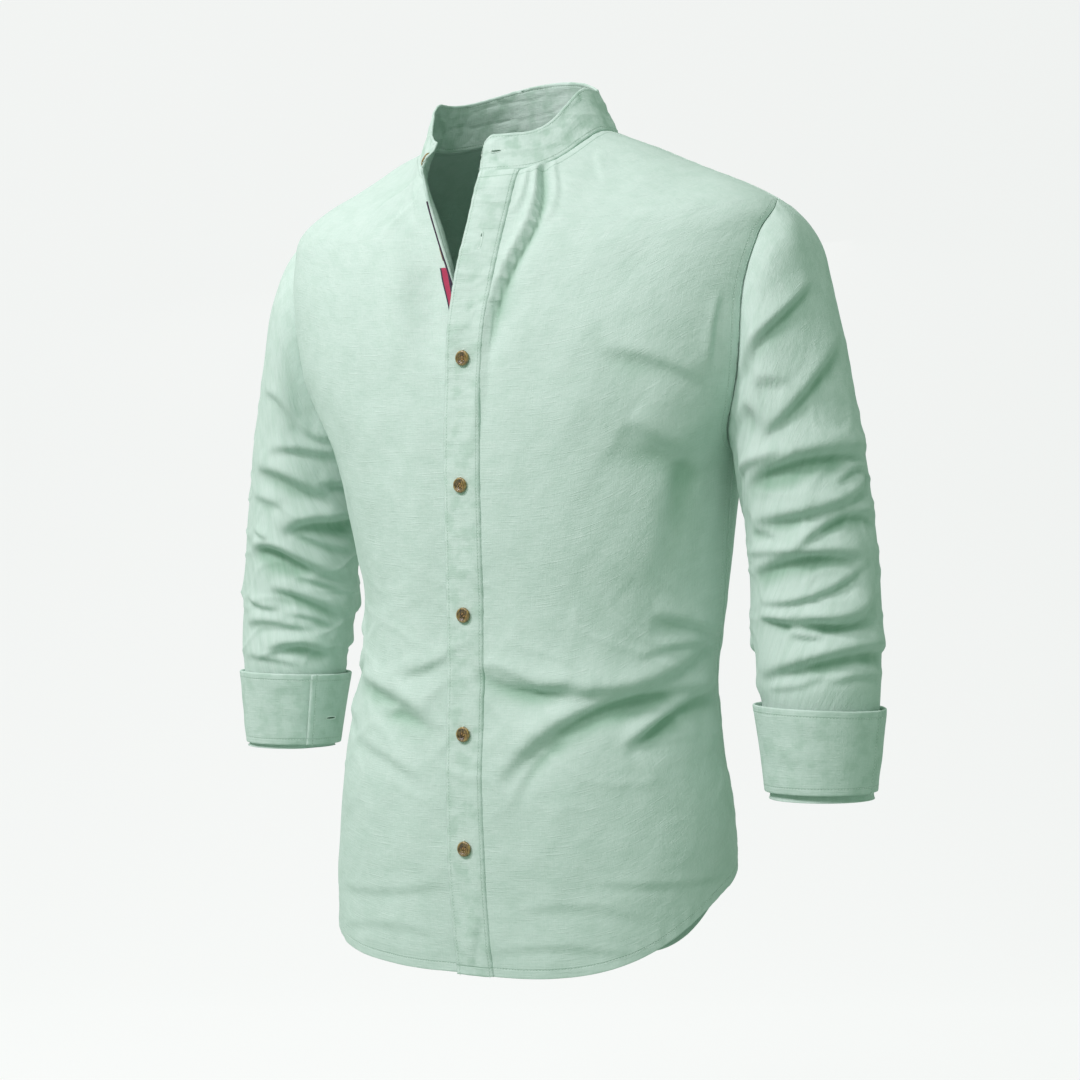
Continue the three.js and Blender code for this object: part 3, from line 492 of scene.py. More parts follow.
def collar_points(heights, shares, rests):
    """The collar band: columns by share of the way round, then by distance along its rolled end."""
    round_neck = mix(LEFT_COLLAR_ANGLE, RIGHT_COLLAR_ANGLE, shares)
    angle = np.concatenate([round_neck, np.full(len(rests), RIGHT_COLLAR_ANGLE)])
    rest = np.concatenate([np.zeros(len(shares)), rests])
    from_left = (LEFT_COLLAR_ANGLE - angle) * COLLAR_DEGREE
    from_right = ROLL_WIDTH - rest + (angle - RIGHT_COLLAR_ANGLE) * COLLAR_DEGREE
    from_end = np.clip(np.minimum(from_left, from_right) / COLLAR_CORNER, 0, 1)
    corner = COLLAR_ROUNDING * (1 - np.sqrt(1 - (1 - from_end) ** 2))
    level = np.full(len(angle), float(NECK_RING))
    bottom = body(angle, level)
    edge_x = np.full(len(angle), EDGES["rightX"][-1])
    roll_bottom = front_edge(-1, level, edge_x, ROLL_WIDTH - rest)
    bottom = np.where((rest > 0)[:, None], roll_bottom, bottom)
    bottom[:, 2] += COLLAR_SEAM
    top = collar_top(angle)
    along = collar_top(angle - 0.4) - collar_top(angle + 0.4)
    along[:, 2] = 0
    along = unit(along)
    out = np.cross(along, np.array([0, 0, 1.0]))
    top = rolled(top, along, out, np.full(len(angle), float(COLLAR_END_TURN)), rest)
    top[:, 2] -= COLLAR_END_DROP * smooth(0, ROLL_WIDTH, rest)
    share = heights[:, None] * (1 - corner[None, :])
    return bottom[None] + (top - bottom)[None] * share[..., None]


def grid_normals(points, facing, tube=False):
    """Outward unit normals of a grid of points."""
    if tube:
        wrapped = np.concatenate([points[:, -1:], points, points[:, :1]], 1)
        across = (wrapped[:, 2:] - wrapped[:, :-2]) / 2
    else:
        across = np.gradient(points, axis=1)
    along = np.gradient(points, axis=0)
    return unit(np.cross(across, along) * facing)


# Folds: the parts that a curve is drawn in, and shares of a fold's width. The least drop is in mm.
FOLD_STEPS = 12
FOLD_REACH = 5
FOLD_SHIFT = 0.3
FOLD_DROP = 0.55
FOLD_LEAST_DROP = 2
FOLD_SPREAD = 1.7
TORSO_FOLD_STRENGTH = 1.75
SLEEVE_FOLD_STRENGTH = 2.1


def fold_curves(folds, place):
    """Each row of a table of folds as a line of points, by a function from turn and place to a point."""
    t = np.linspace(0, 1, FOLD_STEPS + 1)
    curves = []
    for row in zip(*(folds[name] for name in FOLD_COLUMNS.split())):
        start, by, end = np.array(row[0:2]), np.array(row[2:4]), np.array(row[4:6])
        bend = 2 * by - (start + end) / 2
        line = np.outer((1 - t) ** 2, start) + np.outer(2 * t * (1 - t), bend) + np.outer(t * t, end)
        curves.append(np.array([place(turn, at) for turn, at in line]))
    return curves


def fold_offset(cloth, folds, place):
    """How far folds move each point outwards: a steep drop along each curve, from a ridge to a trough."""
    points = cloth.points
    total = np.zeros(points.shape[:-1])
    for curve, width, depth in zip(fold_curves(folds, place), folds["width"], folds["depth"]):
        reach = FOLD_REACH * width
        near = np.all((points > curve.min(0) - reach) & (points < curve.max(0) + reach), -1)
        if not near.any():
            continue
        p = points[near]
        best = np.full(len(p), np.inf)
        side = np.ones(len(p))
        share = np.zeros(len(p))
        for k, (start, end) in enumerate(zip(curve, curve[1:])):
            step = end - start
            t = np.clip((p - start) @ step / (step @ step), 0, 1)
            off = p - start - t[:, None] * step
            length = np.linalg.norm(off, axis=1)
            left = np.einsum("ij,ij->i", np.cross(cloth.normals[near], step), off)
            closer = length < best
            best = np.where(closer, length, best)
            side = np.where(closer, np.where(left < 0, -1, 1), side)
            share = np.where(closer, (k + t) / FOLD_STEPS, share)
        fade = 1 - np.abs(2 * share - 1) ** 3
        distance = best * side + FOLD_SHIFT * width
        edge = np.tanh(distance / max(FOLD_DROP * width, FOLD_LEAST_DROP))
        total[near] += fade * depth * edge * np.exp(-((np.abs(distance) / (FOLD_SPREAD * width)) ** 1.4))
    return total


def torso_place(turn, z):
    """The point on the body at an angle and a height."""
    levels = np.linspace(0, NECK_RING, 241)
    line = body(np.full(levels.shape, turn), levels)
    return body(np.float64(turn), np.interp(z, line[:, 2], levels))


def sleeve_place(sign):
    return lambda turn, level: sleeve(sign, np.float64(turn), np.float64(level))


# Long soft waves that keep the cloth from lying dead flat. The numbers are a wave's length and height.
WAVES = ((150, 0.7), (95, 0.5), (60, 0.32), (38, 0.2), (24, 0.12))
WAVE_COPIES = 4
wave_directions = unit(np.random.default_rng(7).normal(size=(len(WAVES), WAVE_COPIES, 3)))
wave_starts = np.random.default_rng(8).uniform(0, 2 * np.pi, (len(WAVES), WAVE_COPIES))


def waves(points, strength=1.0):
    total = np.zeros(points.shape[:-1])
    for (length, height), directions, starts in zip(WAVES, wave_directions, wave_starts):
        for direction, start in zip(directions, starts):
            total += height / 2 * np.sin(points @ direction * 2 * np.pi / length + start)
    return total * strength


CREASE_SHARPNESS = 0.16
CREASE_COPIES = 6
CREASE_STRETCH = (0.55, 0.55, 1.3)


def creases(points, length, height, seed):
    """A network of fine ridges, longer across the cloth than along it."""
    chance = np.random.default_rng(seed)
    directions = unit(chance.normal(size=(CREASE_COPIES, 3)))
    starts = chance.uniform(0, 2 * np.pi, CREASE_COPIES)
    flattened = points * np.array(CREASE_STRETCH)
    total = np.zeros(points.shape[:-1])
    for direction, start in zip(directions, starts):
        total += np.sin(flattened @ direction * 2 * np.pi / length + start) / 3
    return height * np.exp(-((total / CREASE_SHARPNESS) ** 2))


def pucker(distance, along, pitch, height, reach):
    """Small waves along a sewn line, dying away from it."""
    wander = 0.35 * np.sin(along / pitch * 0.61 + 1.3) + 0.3 * np.sin(along / pitch * 0.23)
    wave = np.sin(2 * np.pi * (along / pitch + wander))
    strength = 0.6 + 0.4 * np.sin(along / pitch * 0.37 + 2)
    return height * wave * strength * np.exp(-((distance / reach) ** 2))


def lengths(points, axis):
    """Distance along the grid's lines from their first point."""
    steps = np.linalg.norm(np.diff(points, axis=axis), axis=-1)
    start = np.zeros_like(np.take(steps, [0], axis=axis))
    return np.concatenate([start, np.cumsum(steps, axis=axis)], axis)


class Cloth:
    """A cut piece as a grid of points with normals, cloth coordinates and distances from its edges."""

    def __init__(self, name, points, facing, tube=False):
        self.name = name
        self.facing = facing
        self.tube = tube
        self.points = points
        self.normals = grid_normals(points, facing, tube)
        self.fold = np.zeros(points.shape[:-1])
        wrapped = np.concatenate([points, points[:, :1]], 1) if tube else points
        self.across = lengths(wrapped, 1)
        self.along = lengths(wrapped, 0)
        self.from_side = np.minimum(self.across, self.across[:, -1:] - self.across)
        self.from_end = np.minimum(self.along, self.along[-1:] - self.along)

    def edge_distance(self, kind):
        distance = {
            "first_column": self.across,
            "last_column": self.across[:, -1:] - self.across,
            "first_row": self.along,
            "last_row": self.along[-1:] - self.along,
        }[kind]
        return distance[:, :-1] if self.tube else distance

    def move(self, offset):
        """Moves the cloth along its normals, and remembers how far as its folds."""
        self.points = self.points + offset[..., None] * self.normals
        self.fold = self.fold + offset
        self.normals = grid_normals(self.points, self.facing, self.tube)

    def band(self, name, width):
        """A piece made from this one's own points in its first columns."""
        piece = Cloth(name, self.points[:, :width], self.facing)
        piece.normals = self.normals[:, :width]
        piece.fold = self.fold[:, :width]
        return piece

    def line(self, kind, offset, start=0.0, end=1.0):
        """Points and normals at a distance from one edge, for a row of stitches."""
        grids = (self.edge_distance(kind), self.points, self.normals)
        distance, points, normals = (grid.swapaxes(0, 1) if kind in ENDS else grid for grid in grids)
        last = len(points) - 1
        line = []
        up = []
        for i in range(round(start * last), round(end * last) + 1):
            order = np.argsort(distance[i])
            for found, source in ((line, points), (up, normals)):
                found.append([np.interp(offset, distance[i][order], source[i][order, k]) for k in range(3)])
        return np.array(line), np.array(up)


def wall_faces(rows, columns, facing, tube):
    """Quads of a closed wall, as vertex numbers and as cloth-coordinate numbers."""
    span = columns if tube else columns - 1
    i, j = (a.ravel() for a in np.meshgrid(np.arange(rows - 1), np.arange(span), indexing="ij"))

    def corners(i_list, j_list, layers):
        numbers = zip(i_list, j_list, layers)
        vertex = [(layer * rows + a) * columns + b % columns for a, b, layer in numbers]
        place = [a * (span + 1) + b for a, b in zip(i_list, j_list)]
        return np.stack(vertex, 1), np.stack(place, 1)

    ones = np.zeros_like(i)
    quads = [
        corners((i, i, i + 1, i + 1), (j, j + 1, j + 1, j), (ones, ones, ones, ones)),
        corners((i, i + 1, i + 1, i), (j, j, j + 1, j + 1), (ones + 1, ones + 1, ones + 1, ones + 1)),
    ]
    j = np.arange(span)
    low = np.zeros_like(j)
    high = low + rows - 1
    quads.append(corners((low, low, low, low), (j + 1, j, j, j + 1), (low, low, low + 1, low + 1)))
    quads.append(corners((high, high, high, high), (j, j + 1, j + 1, j), (low, low, low + 1, low + 1)))
    if not tube:
        i = np.arange(rows - 1)
        first = np.zeros_like(i)
        last = first + columns - 1
        layers = (first, first, first + 1, first + 1)
        quads.append(corners((i, i + 1, i + 1, i), (first, first, first, first), layers))
        quads.append(corners((i + 1, i, i, i + 1), (last, last, last, last), layers))
    vertex = np.concatenate([q[0] for q in quads])
    place = np.concatenate([q[1] for q in quads])
    if facing < 0:
        vertex = vertex[:, ::-1]
        place = place[:, ::-1]
    return vertex, place


def mesh_object(name, points, faces, material):
    """A mesh object at the origin from points in mm."""
    mesh = bpy.data.meshes.new(name)
    mesh.vertices.add(len(points))
    mesh.vertices.foreach_set("co", (np.asarray(points, np.float32) * MM).ravel())
    size = faces.shape[1]
    mesh.loops.add(faces.size)
    mesh.loops.foreach_set("vertex_index", faces.astype(np.int32).ravel())
    mesh.polygons.add(len(faces))
    mesh.polygons.foreach_set("loop_start", np.arange(0, faces.size, size, dtype=np.int32))
    mesh.update(calc_edges=True)
    mesh.polygons.foreach_set("use_smooth", np.ones(len(faces), bool))
    mesh.materials.append(material)
    return in_scene(name, mesh)


def dress(piece, slot, *nodes):
    """Hands a finished piece to the frame."""
    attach(piece, "root")
    if nodes:
        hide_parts(*nodes)
    return piece


# How a wall thins towards its edges: the reach and the least thickness, as shares of the wall
EDGE_ROUNDING = 0.7
EDGE_THICKNESS = 0.25


def sew(cloth, material, lift, wall):
    """Makes a cut piece as a closed thin wall with rounded edges."""
    rows, columns = cloth.points.shape[:2]
    thin = np.ones((rows, columns))
    for kind in ENDS if cloth.tube else SIDES + ENDS:
        inside = np.clip(cloth.edge_distance(kind) / (wall * EDGE_ROUNDING), 0, 1)
        thin = np.minimum(thin, mix(EDGE_THICKNESS, 1, np.sqrt(1 - (1 - inside) ** 2)))
    middle = lift - wall / 2
    outer = cloth.points + cloth.normals * (middle + thin * wall / 2)[..., None]
    inner = cloth.points + cloth.normals * (middle - thin * wall / 2)[..., None]
    points = np.concatenate([outer.reshape(-1, 3), inner.reshape(-1, 3)])
    vertex, place = wall_faces(rows, columns, cloth.facing, cloth.tube)
    piece = mesh_object(cloth.name + "_cloth", points, vertex, material)
    mesh = piece.data
    u = np.broadcast_to(cloth.across.mean(0), cloth.across.shape) if not cloth.tube else cloth.across
    cloth_uv = np.stack([u, cloth.along], -1).reshape(-1, 2) * MM
    edge_uv = np.stack([cloth.from_side, cloth.from_end], -1).reshape(-1, 2) * MM
    for layer_name, values in (("cloth", cloth_uv), ("edges", edge_uv)):
        layer = mesh.uv_layers.new(name=layer_name)
        layer.data.foreach_set("uv", values[place.ravel()].astype(np.float32).ravel())
    fold = mesh.attributes.new("fold", "FLOAT", "POINT")
    fold.data.foreach_set("value", np.tile(cloth.fold.ravel(), 2).astype(np.float32))
    return piece


# Shader maths as Python expressions
class Value:
    """A shader socket that takes part in Python arithmetic."""

    def __init__(self, shader, socket):
        self.shader = shader
        self.socket = socket

    def maths(self, operation, *others):
        return self.shader.node("ShaderNodeMath", {"operation": operation}, dict(enumerate((self, *others))))

    def __add__(self, other):
        return self.maths("ADD", other)

    __radd__ = __add__

    def __sub__(self, other):
        return self.maths("SUBTRACT", other)

    def __rsub__(self, other):
        return self.shader.node("ShaderNodeMath", {"operation": "SUBTRACT"}, {0: other, 1: self})

    def __mul__(self, other):
        return self.maths("MULTIPLY", other)

    __rmul__ = __mul__

    def __neg__(self):
        return self.maths("MULTIPLY", -1)


class Shader:
    """A material whose nodes are made by one method."""

    def __init__(self, name):
        self.material = bpy.data.materials.new(name)
        self.material.use_nodes = True
        self.tree = self.material.node_tree
        self.surface = self.tree.nodes["Principled BSDF"]

    def node(self, kind, settings=None, values=None, output=0):
        """Adds a node: its settings first, then values or links of its sockets by number or name."""
        made = self.tree.nodes.new(kind)
        for key, value in (settings or {}).items():
            if key == "stops":
                ramp = made.color_ramp
                while len(ramp.elements) < len(value):
                    ramp.elements.new(0.5)
                for element, (place, colour) in zip(ramp.elements, value):
                    element.position = place
                    element.color = colour
            else:
                setattr(made, key, value)
        for key, value in (values or {}).items():
            self.feed(made.inputs[key], value)
        return Value(self, made.outputs[output])

    def feed(self, socket, value):
        if isinstance(value, Value):
            self.tree.links.new(value.socket, socket)
        else:
            socket.default_value = value

    def set(self, **values):
        for key, value in values.items():
            self.feed(self.surface.inputs[key.replace("_", " ").title()], value)

    def between(self, factor, a, b):
        """Mixes two colours."""
        return self.node("ShaderNodeMix", {"data_type": "RGBA"}, {0: factor, 6: a, 7: b}, 2)

    def step(self, start, end, value):
        """A smooth step from 0 to 1."""
        settings = {"interpolation_type": "SMOOTHSTEP"}
        return self.node("ShaderNodeMapRange", settings, {0: value, 1: start, 2: end, 3: 0.0, 4: 1.0})

    def noise(self, vector, scale=1.0, detail=2.0, roughness=0.5):
        values = {"Vector": vector, "Scale": scale, "Detail": detail, "Roughness": roughness}
        return self.node("ShaderNodeTexNoise", None, values)

    def stretched(self, vector, x, y, z=1.0):
        return self.node("ShaderNodeVectorMath", {"operation": "MULTIPLY"}, {0: vector, 1: (x, y, z)})

    def threads(self, vector, across, along, detail=3.0, roughness=0.65):
        """Noise of a grain in millimetres across and along the cloth."""
        return self.noise(self.stretched(vector, 1 / across, 1 / along), detail=detail, roughness=roughness)

    def coordinates(self, layer):
        """A UV layer in millimetres: the vector and its two numbers."""
        uv = self.node("ShaderNodeUVMap", {"uv_map": layer})
        scaled = self.stretched(uv, 1 / MM, 1 / MM, 0.0)
        x = self.node("ShaderNodeSeparateXYZ", None, {0: scaled}, 0)
        y = self.node("ShaderNodeSeparateXYZ", None, {0: scaled}, 1)
        return scaled, x, y

    def place(self):
        """The point's place on the object, in metres."""
        return self.node("ShaderNodeTexCoord", output=3)

    def attribute(self, name):
        """A number that the mesh holds at each point."""
        return self.node("ShaderNodeAttribute", {"attribute_name": name}, output=2)

    def wave(self, number, length):
        return (number * (2 * math.pi / length)).maths("SINE")

    def bump(self, height):
        """A normal from a height in millimetres."""
        return self.node("ShaderNodeBump", None, {"Strength": 1.0, "Distance": MM, "Height": height})


def linear(red, green, blue):
    """A colour given as 0 to 255 in linear light."""
    channels = [c / 255 for c in (red, green, blue)]
    return (*[c / 12.92 if c <= 0.04045 else ((c + 0.055) / 1.055) ** 2.4 for c in channels], 1)


MINT = linear(196, 219, 208)
MINT_LIGHT = linear(222, 237, 230)
# MINT_DEEP is painted shade in fold troughs and stitch grooves, and the colour of the darker patches
MINT_DEEP = linear(98, 158, 120)
THREAD = linear(218, 236, 226)
THREAD_DARK = linear(150, 106, 58)
THREAD_BROWN = linear(206, 166, 112)
# The buttonhole slits' greens are painted shade inside the cuts
SLIT_DARK = linear(40, 72, 54)
SLIT_LIGHT = linear(66, 104, 80)
CRIMSON = linear(160, 26, 66)
CRIMSON_LIGHT = linear(196, 56, 100)
NAVY = linear(32, 30, 52)
NAVY_WORN = linear(92, 46, 76)
HORN_LIGHT = linear(174, 146, 82)
HORN_DARK = linear(46, 32, 12)


def cloth_material(name, side_lines, end_lines, patches):
    """Mint slub linen, with painted shade in its fold troughs and stitched grooves. The lines are distances
    in mm from the piece's edges where stitching pulls it in.
    """
    shader = Shader(name)
    vector, across, along = shader.coordinates("cloth")
    _, from_side, from_end = shader.coordinates("edges")
    warp = shader.threads(vector, 0.9, 16)
    weft = shader.threads(vector, 18, 0.8)
    slub = shader.step(0.35, 0.75, warp) * 0.5 + shader.step(0.35, 0.75, weft) * 0.5
    thick = shader.step(0.6, 0.72, shader.threads(vector, 26, 1.1, detail=1.0, roughness=0.5))
    cloud = shader.noise(vector, scale=1 / 22, detail=3.0)
    mottle = shader.noise(vector, scale=1 / 3.2, detail=2.0)
    weave = shader.wave(across, 0.85) * shader.wave(along, 0.85)
    # Painted shade: the colour turns towards MINT_DEEP where the folds sink in
    trough_shade = shader.step(0.4, 5.5, -shader.attribute("fold"))
    groove = 0.0
    for number, lines in ((from_side, side_lines), (from_end, end_lines)):
        for line in lines:
            groove = groove + shader.step(0.9, 0.0, (number - line).maths("ABSOLUTE"))
    tone = slub * 0.42 + thick * 0.16 + cloud * 0.3 + mottle * 0.3 - 0.12
    colour = shader.between(tone, MINT, MINT_LIGHT)
    # Darker mottled patches at random; their strength per piece, highest on the collar and plackets, is
    # partly painted shade of those pieces
    patch = shader.step(0.42, 0.66, shader.noise(vector, scale=1 / 15, detail=3.0))
    colour = shader.between(trough_shade * 0.5 + patch * patches, colour, MINT_DEEP)
    rumple = shader.noise(vector, scale=1 / 9, detail=3.0, roughness=0.6)
    height = slub * 0.14 + thick * 0.09 + mottle * 0.13 + rumple * 0.5 + weave * 0.02
    if not isinstance(groove, float):
        # Painted shade along the stitched lines' grooves, on top of their dent in the bump
        colour = shader.between(groove * 0.22, colour, MINT_DEEP)
        height = height - groove * 0.28
    shader.set(
        base_color=colour,
        roughness=0.78 + slub * 0.12,
        normal=shader.bump(height),
        sheen_weight=0.1,
        sheen_roughness=0.5,
    )
    shader.surface.inputs["Sheen Tint"].default_value = MINT_LIGHT
    shader.surface.inputs["Specular IOR Level"].default_value = 0.25
    return shader.material


def thread_material(name, dark, light):
    shader = Shader(name)
    twist = shader.noise(shader.place(), scale=1 / (0.4 * MM), detail=1.0)
    shader.set(
        base_color=shader.between(twist, dark, light),
        roughness=0.55 + twist * 0.2,
        normal=shader.bump(twist * 0.05),
        sheen_weight=0.1,
    )
    return shader.material


def speckled_material(name, dark, light, share, grain, roughness):
    """A dull material with fine specks of a lighter colour, of a given grain in mm."""
    shader = Shader(name)
    speck = shader.noise(shader.place(), scale=1 / (grain * MM))
    shader.set(base_color=shader.between(speck * share, dark, light), roughness=roughness)
    return shader.material


def tape_material():
    """Crimson woven tape with navy edges."""
    shader = Shader("contrast tape")
    vector, across, along = shader.coordinates("cloth")
    _, from_side, _ = shader.coordinates("edges")
    twill = shader.wave(across * 0.8 + along, 0.9)
    speck = shader.noise(vector, scale=1 / 1.6, detail=2.0)
    navy = shader.step(1.8, 1.4, from_side)
    crimson = shader.between(speck * 0.6, CRIMSON, CRIMSON_LIGHT)
    shader.set(
        base_color=shader.between(navy, crimson, NAVY),
        roughness=0.7 + speck * 0.15,
        normal=shader.bump(twill * 0.05 + speck * 0.06),
        sheen_weight=0.2,
    )
    return shader.material


def horn_material():
    """Polished brown horn with streaks, its raised rim painted lighter and its dished middle darker as
    painted highlight and shade.
    """
    shader = Shader("brown horn")
    place = shader.place()
    streak = shader.noise(shader.stretched(place, 900, 300, 260), detail=4.0, roughness=0.6)
    cloud = shader.noise(place, scale=1 / (5 * MM), detail=2.0)
    # The rim attribute lightens the rim: a painted highlight, with painted shade in the dish
    shade = shader.step(0.38, 0.64, streak) * 0.6 + cloud * 0.3 + shader.attribute("rim") * 0.3 - 0.1
    shader.set(
        base_color=shader.between(shade, HORN_DARK, HORN_LIGHT),
        roughness=0.26 + streak * 0.22,
        normal=shader.bump(streak * 0.04),
        coat_weight=0.35,
        coat_roughness=0.15,
    )
    return shader.material


# The collar and plackets get the strongest patches, partly as painted shade
panel_cloth = cloth_material("mint cloth panels", (SEAM_STITCH,), (HEM_STITCH,), patches=0.06)
sleeve_cloth = cloth_material("mint cloth sleeves", (), (), patches=0.1)
placket_cloth = cloth_material("mint cloth plackets", (BAND_STITCH,), (HEM_STITCH,), patches=0.2)
collar_cloth = cloth_material("mint cloth collar", (BAND_STITCH,), (BAND_STITCH,), patches=0.28)
cuff_cloth = cloth_material("mint cloth cuffs", (CUFF_STITCH,), (CUFF_STITCH,), patches=0.18)
thread = thread_material("mint thread", THREAD, MINT_LIGHT)
brown_thread = thread_material("brown thread", THREAD_DARK, THREAD_BROWN)
slit = speckled_material("buttonhole slit", SLIT_DARK, SLIT_LIGHT, share=1.0, grain=1.2, roughness=0.95)
tape_cloth = tape_material()
piping = speckled_material("navy piping", NAVY, NAVY_WORN, share=0.5, grain=0.9, roughness=0.8)
horn = horn_material()


def spaced(start, end, step, edge=()):
    """Even stations between two values, with closer ones at each end."""
    inner = np.linspace(start, end, max(int(round(abs(end - start) / step)), 1) + 1)
    low = [start + e for e in edge]
    high = [end - e for e in edge]
    return np.unique(np.concatenate([inner, low, high]))


def seam_dent(distance, depth, reach):
    """How far a sewn line pulls the cloth in."""
    return -depth * np.exp(-((distance / reach) ** 2))


# Body panels
BODY_ROWS = spaced(0, NECK_RING, 0.045, (0.006, 0.015))
BAND_LEFT = spaced(0.6, PLACKET_WIDTH, 2.4)
BAND_RIGHT = spaced(0.5, PLACKET_WIDTH, 1.4)
PANEL_SHARES = np.linspace(0, 1, 84)[1:]
BACK_SHARES = np.linspace(0, 1, 150)

front_left = Cloth("front_left", front_points(1, BODY_ROWS, BAND_LEFT, PANEL_SHARES), 1)
front_right = Cloth("front_right", front_points(-1, BODY_ROWS, BAND_RIGHT, PANEL_SHARES), -1)
back_edge = outer_angle(BODY_ROWS[:, None], "back")
back_points = body(360 - mix(back_edge, 180 - back_edge, BACK_SHARES[None, :]), BODY_ROWS[:, None])
back = Cloth("back", back_points, 1)

# Heights in mm between which the fine creases set in
WAIST_LOW = (-620, -520)
WAIST_HIGH = (-330, -420)
HIPS = (-540, -620)

for panel in (front_left, front_right, back):
    level = np.broadcast_to(BODY_ROWS[:, None], panel.points.shape[:2])
    offset = fold_offset(panel, TORSO_FOLDS, torso_place) + fold_offset(panel, NECK_FOLDS, torso_place)
    offset *= TORSO_FOLD_STRENGTH
    offset += waves(panel.points) * (1 - smooth(NECK_RING - 0.6, NECK_RING, level))
    height = panel.points[..., 2]
    waist = smooth(*WAIST_LOW, height) * smooth(*WAIST_HIGH, height)
    offset += creases(panel.points, length=46, height=0.8, seed=3) * waist
    offset += creases(panel.points, length=34, height=0.25, seed=4) * smooth(*HIPS, height)
    hem = panel.edge_distance("first_row")
    offset += pucker(hem - HEM_STITCH, panel.across, pitch=13, height=0.35, reach=9)
    if panel is not back:
        band = panel.edge_distance("first_column") - PLACKET_WIDTH
        offset += pucker(band, panel.along, pitch=17, height=0.3, reach=6) * (band > 0)
    for kind in SIDES if panel is back else SIDES[1:]:
        side = panel.edge_distance(kind)
        offset += pucker(side - 2, panel.along, pitch=14, height=0.3, reach=7)
        offset += seam_dent(side, depth=0.25, reach=1.6)
    collar_seam = panel.edge_distance("last_row")
    offset += pucker(collar_seam, panel.across, pitch=10, height=0.15, reach=7)
    offset += seam_dent(collar_seam, depth=0.9, reach=2.2)
    panel.move(offset)

# Sleeves
SLEEVE_ROWS = spaced(0, SLEEVE_LIP, 0.05, (0.01,))
SLEEVE_ANGLES = np.arange(0, 360, 2.4)
SIDE_NAMES = {1: "left", -1: "right"}
sleeves = {}
for sign, folds in ((1, LEFT_SLEEVE_FOLDS), (-1, RIGHT_SLEEVE_FOLDS)):
    base = sleeve(sign, SLEEVE_ANGLES[None, :], SLEEVE_ROWS[:, None])
    cloth = Cloth("sleeve_" + SIDE_NAMES[sign], base, sign, tube=True)
    level = np.broadcast_to(SLEEVE_ROWS[:, None], base.shape[:2])
    above_cuff = 1 - smooth(*CUFF_COVER, level)
    offset = fold_offset(cloth, folds, sleeve_place(sign))
    offset *= SLEEVE_FOLD_STRENGTH * above_cuff * smooth(-0.15, 0.5, level)
    rumpled = waves(base, strength=1.1) + creases(base, length=40, height=1.0, seed=5) * smooth(2, 5, level)
    offset += rumpled * above_cuff * smooth(0, 1, level)
    head = cloth.edge_distance("first_row")
    offset += pucker(head, cloth.across[:, :-1], pitch=15, height=0.45, reach=10) * smooth(0, 3, head)
    cloth.move(offset + seam_dent(head, depth=0.25, reach=1.8))
    sleeves[sign] = cloth

# Collar band
COLLAR_HEIGHTS = spaced(0, 1, 1 / 30, (0.01, 0.02))
COLLAR_SHARES = np.linspace(0, 1, 230)
COLLAR_RESTS = np.linspace(0, ROLL_WIDTH, 16)[1:]
collar = Cloth("collar_band", collar_points(COLLAR_HEIGHTS, COLLAR_SHARES, COLLAR_RESTS), 1)
ripple = 0.35 * np.sin(collar.along / 3.1 + 2.2 * np.sin(collar.across / 41))
ripple *= np.sin(collar.across / 23 + 1) ** 2
rumpled = waves(collar.points, strength=0.5)
rumpled += creases(collar.points, length=24, height=0.5, seed=9)
rumpled += creases(collar.points, length=13, height=0.2, seed=11)
collar.move(rumpled + ripple)

# Turned-back cuffs
CUFF_HEIGHTS = spaced(0, 1, 1 / 34, (0.006, 0.014))
CUFF_SHARES = np.linspace(0, 1, 200)
cuffs = {}
for sign, size in CUFFS.items():
    heights = CUFF_HEIGHTS[:, None]
    shares = CUFF_SHARES[None, :]
    angle = size["end"] + CUFF_TURN * shares
    c, s = circle(angle)
    top = size["top"] + mix(*size["tilt"], (1 + c) / 2)
    level = mix(size["bottom"], top, heights)
    base = sleeve(sign, angle, level)
    stand = mix(size["bottom_stand"], size["top_stand"], np.sin(np.pi * heights / 2)) - CUFF_SPIRAL * shares
    base[..., 0] += sign * stand * c
    base[..., 1] -= stand * s
    cloth = Cloth("cuff_" + SIDE_NAMES[sign], base, -sign)
    ripple = 0.3 * np.sin(cloth.along / 4.2 + 1.8 * np.sin(cloth.across / 37 + sign))
    ripple *= np.sin(cloth.across / 29 + 2 * sign) ** 2
    from_stitch = cloth.edge_distance("last_row") - CUFF_STITCH
    ripple += pucker(from_stitch, cloth.across, pitch=9, height=0.22, reach=6)
    cloth.move(ripple + waves(base, strength=0.45))
    cuffs[sign] = cloth

# Pieces made from a panel's own points
placket_left = front_left.band("placket_left", len(BAND_LEFT))
placket_right = front_right.band("placket_right", len(BAND_RIGHT))
rumpled = pucker(placket_left.from_side - BAND_STITCH, placket_left.along, pitch=12, height=0.16, reach=5)
rumpled += creases(placket_left.points, length=26, height=0.45, seed=6)
placket_left.move(rumpled + seam_dent(placket_left.edge_distance("last_column"), depth=0.9, reach=4))

# The tape's reach on the body's rings, where it slants, and its outer edge's distance from the free edge
TAPE_REACH = (7.75, 9.34)
TAPE_SLANT = (8.1, 9.1)
TAPE_FROM_EDGE = (16, 25.5)


def tape_piece():
    """A slanting strip on the right band: its outer edge nears the free edge on its way down."""
    rows = np.flatnonzero((BODY_ROWS > TAPE_REACH[0]) & (BODY_ROWS < TAPE_REACH[1]))
    outer = mix(*TAPE_FROM_EDGE, smooth(*TAPE_SLANT, BODY_ROWS[rows]))
    across = np.linspace(TAPE_WIDTH, 0, 13)
    distances = outer[:, None] - across[None, :]
    strip = []
    for source in (front_right.points, front_right.normals):
        layers = [
            [np.interp(distance, BAND_RIGHT, source[row, :len(BAND_RIGHT), k]) for k in range(3)]
            for row, distance in zip(rows, distances)
        ]
        strip.append(np.array(layers).transpose(0, 2, 1))
    piece = Cloth("contrast_tape", strip[0], -1)
    piece.normals = unit(strip[1])
    return piece


tape = tape_piece()

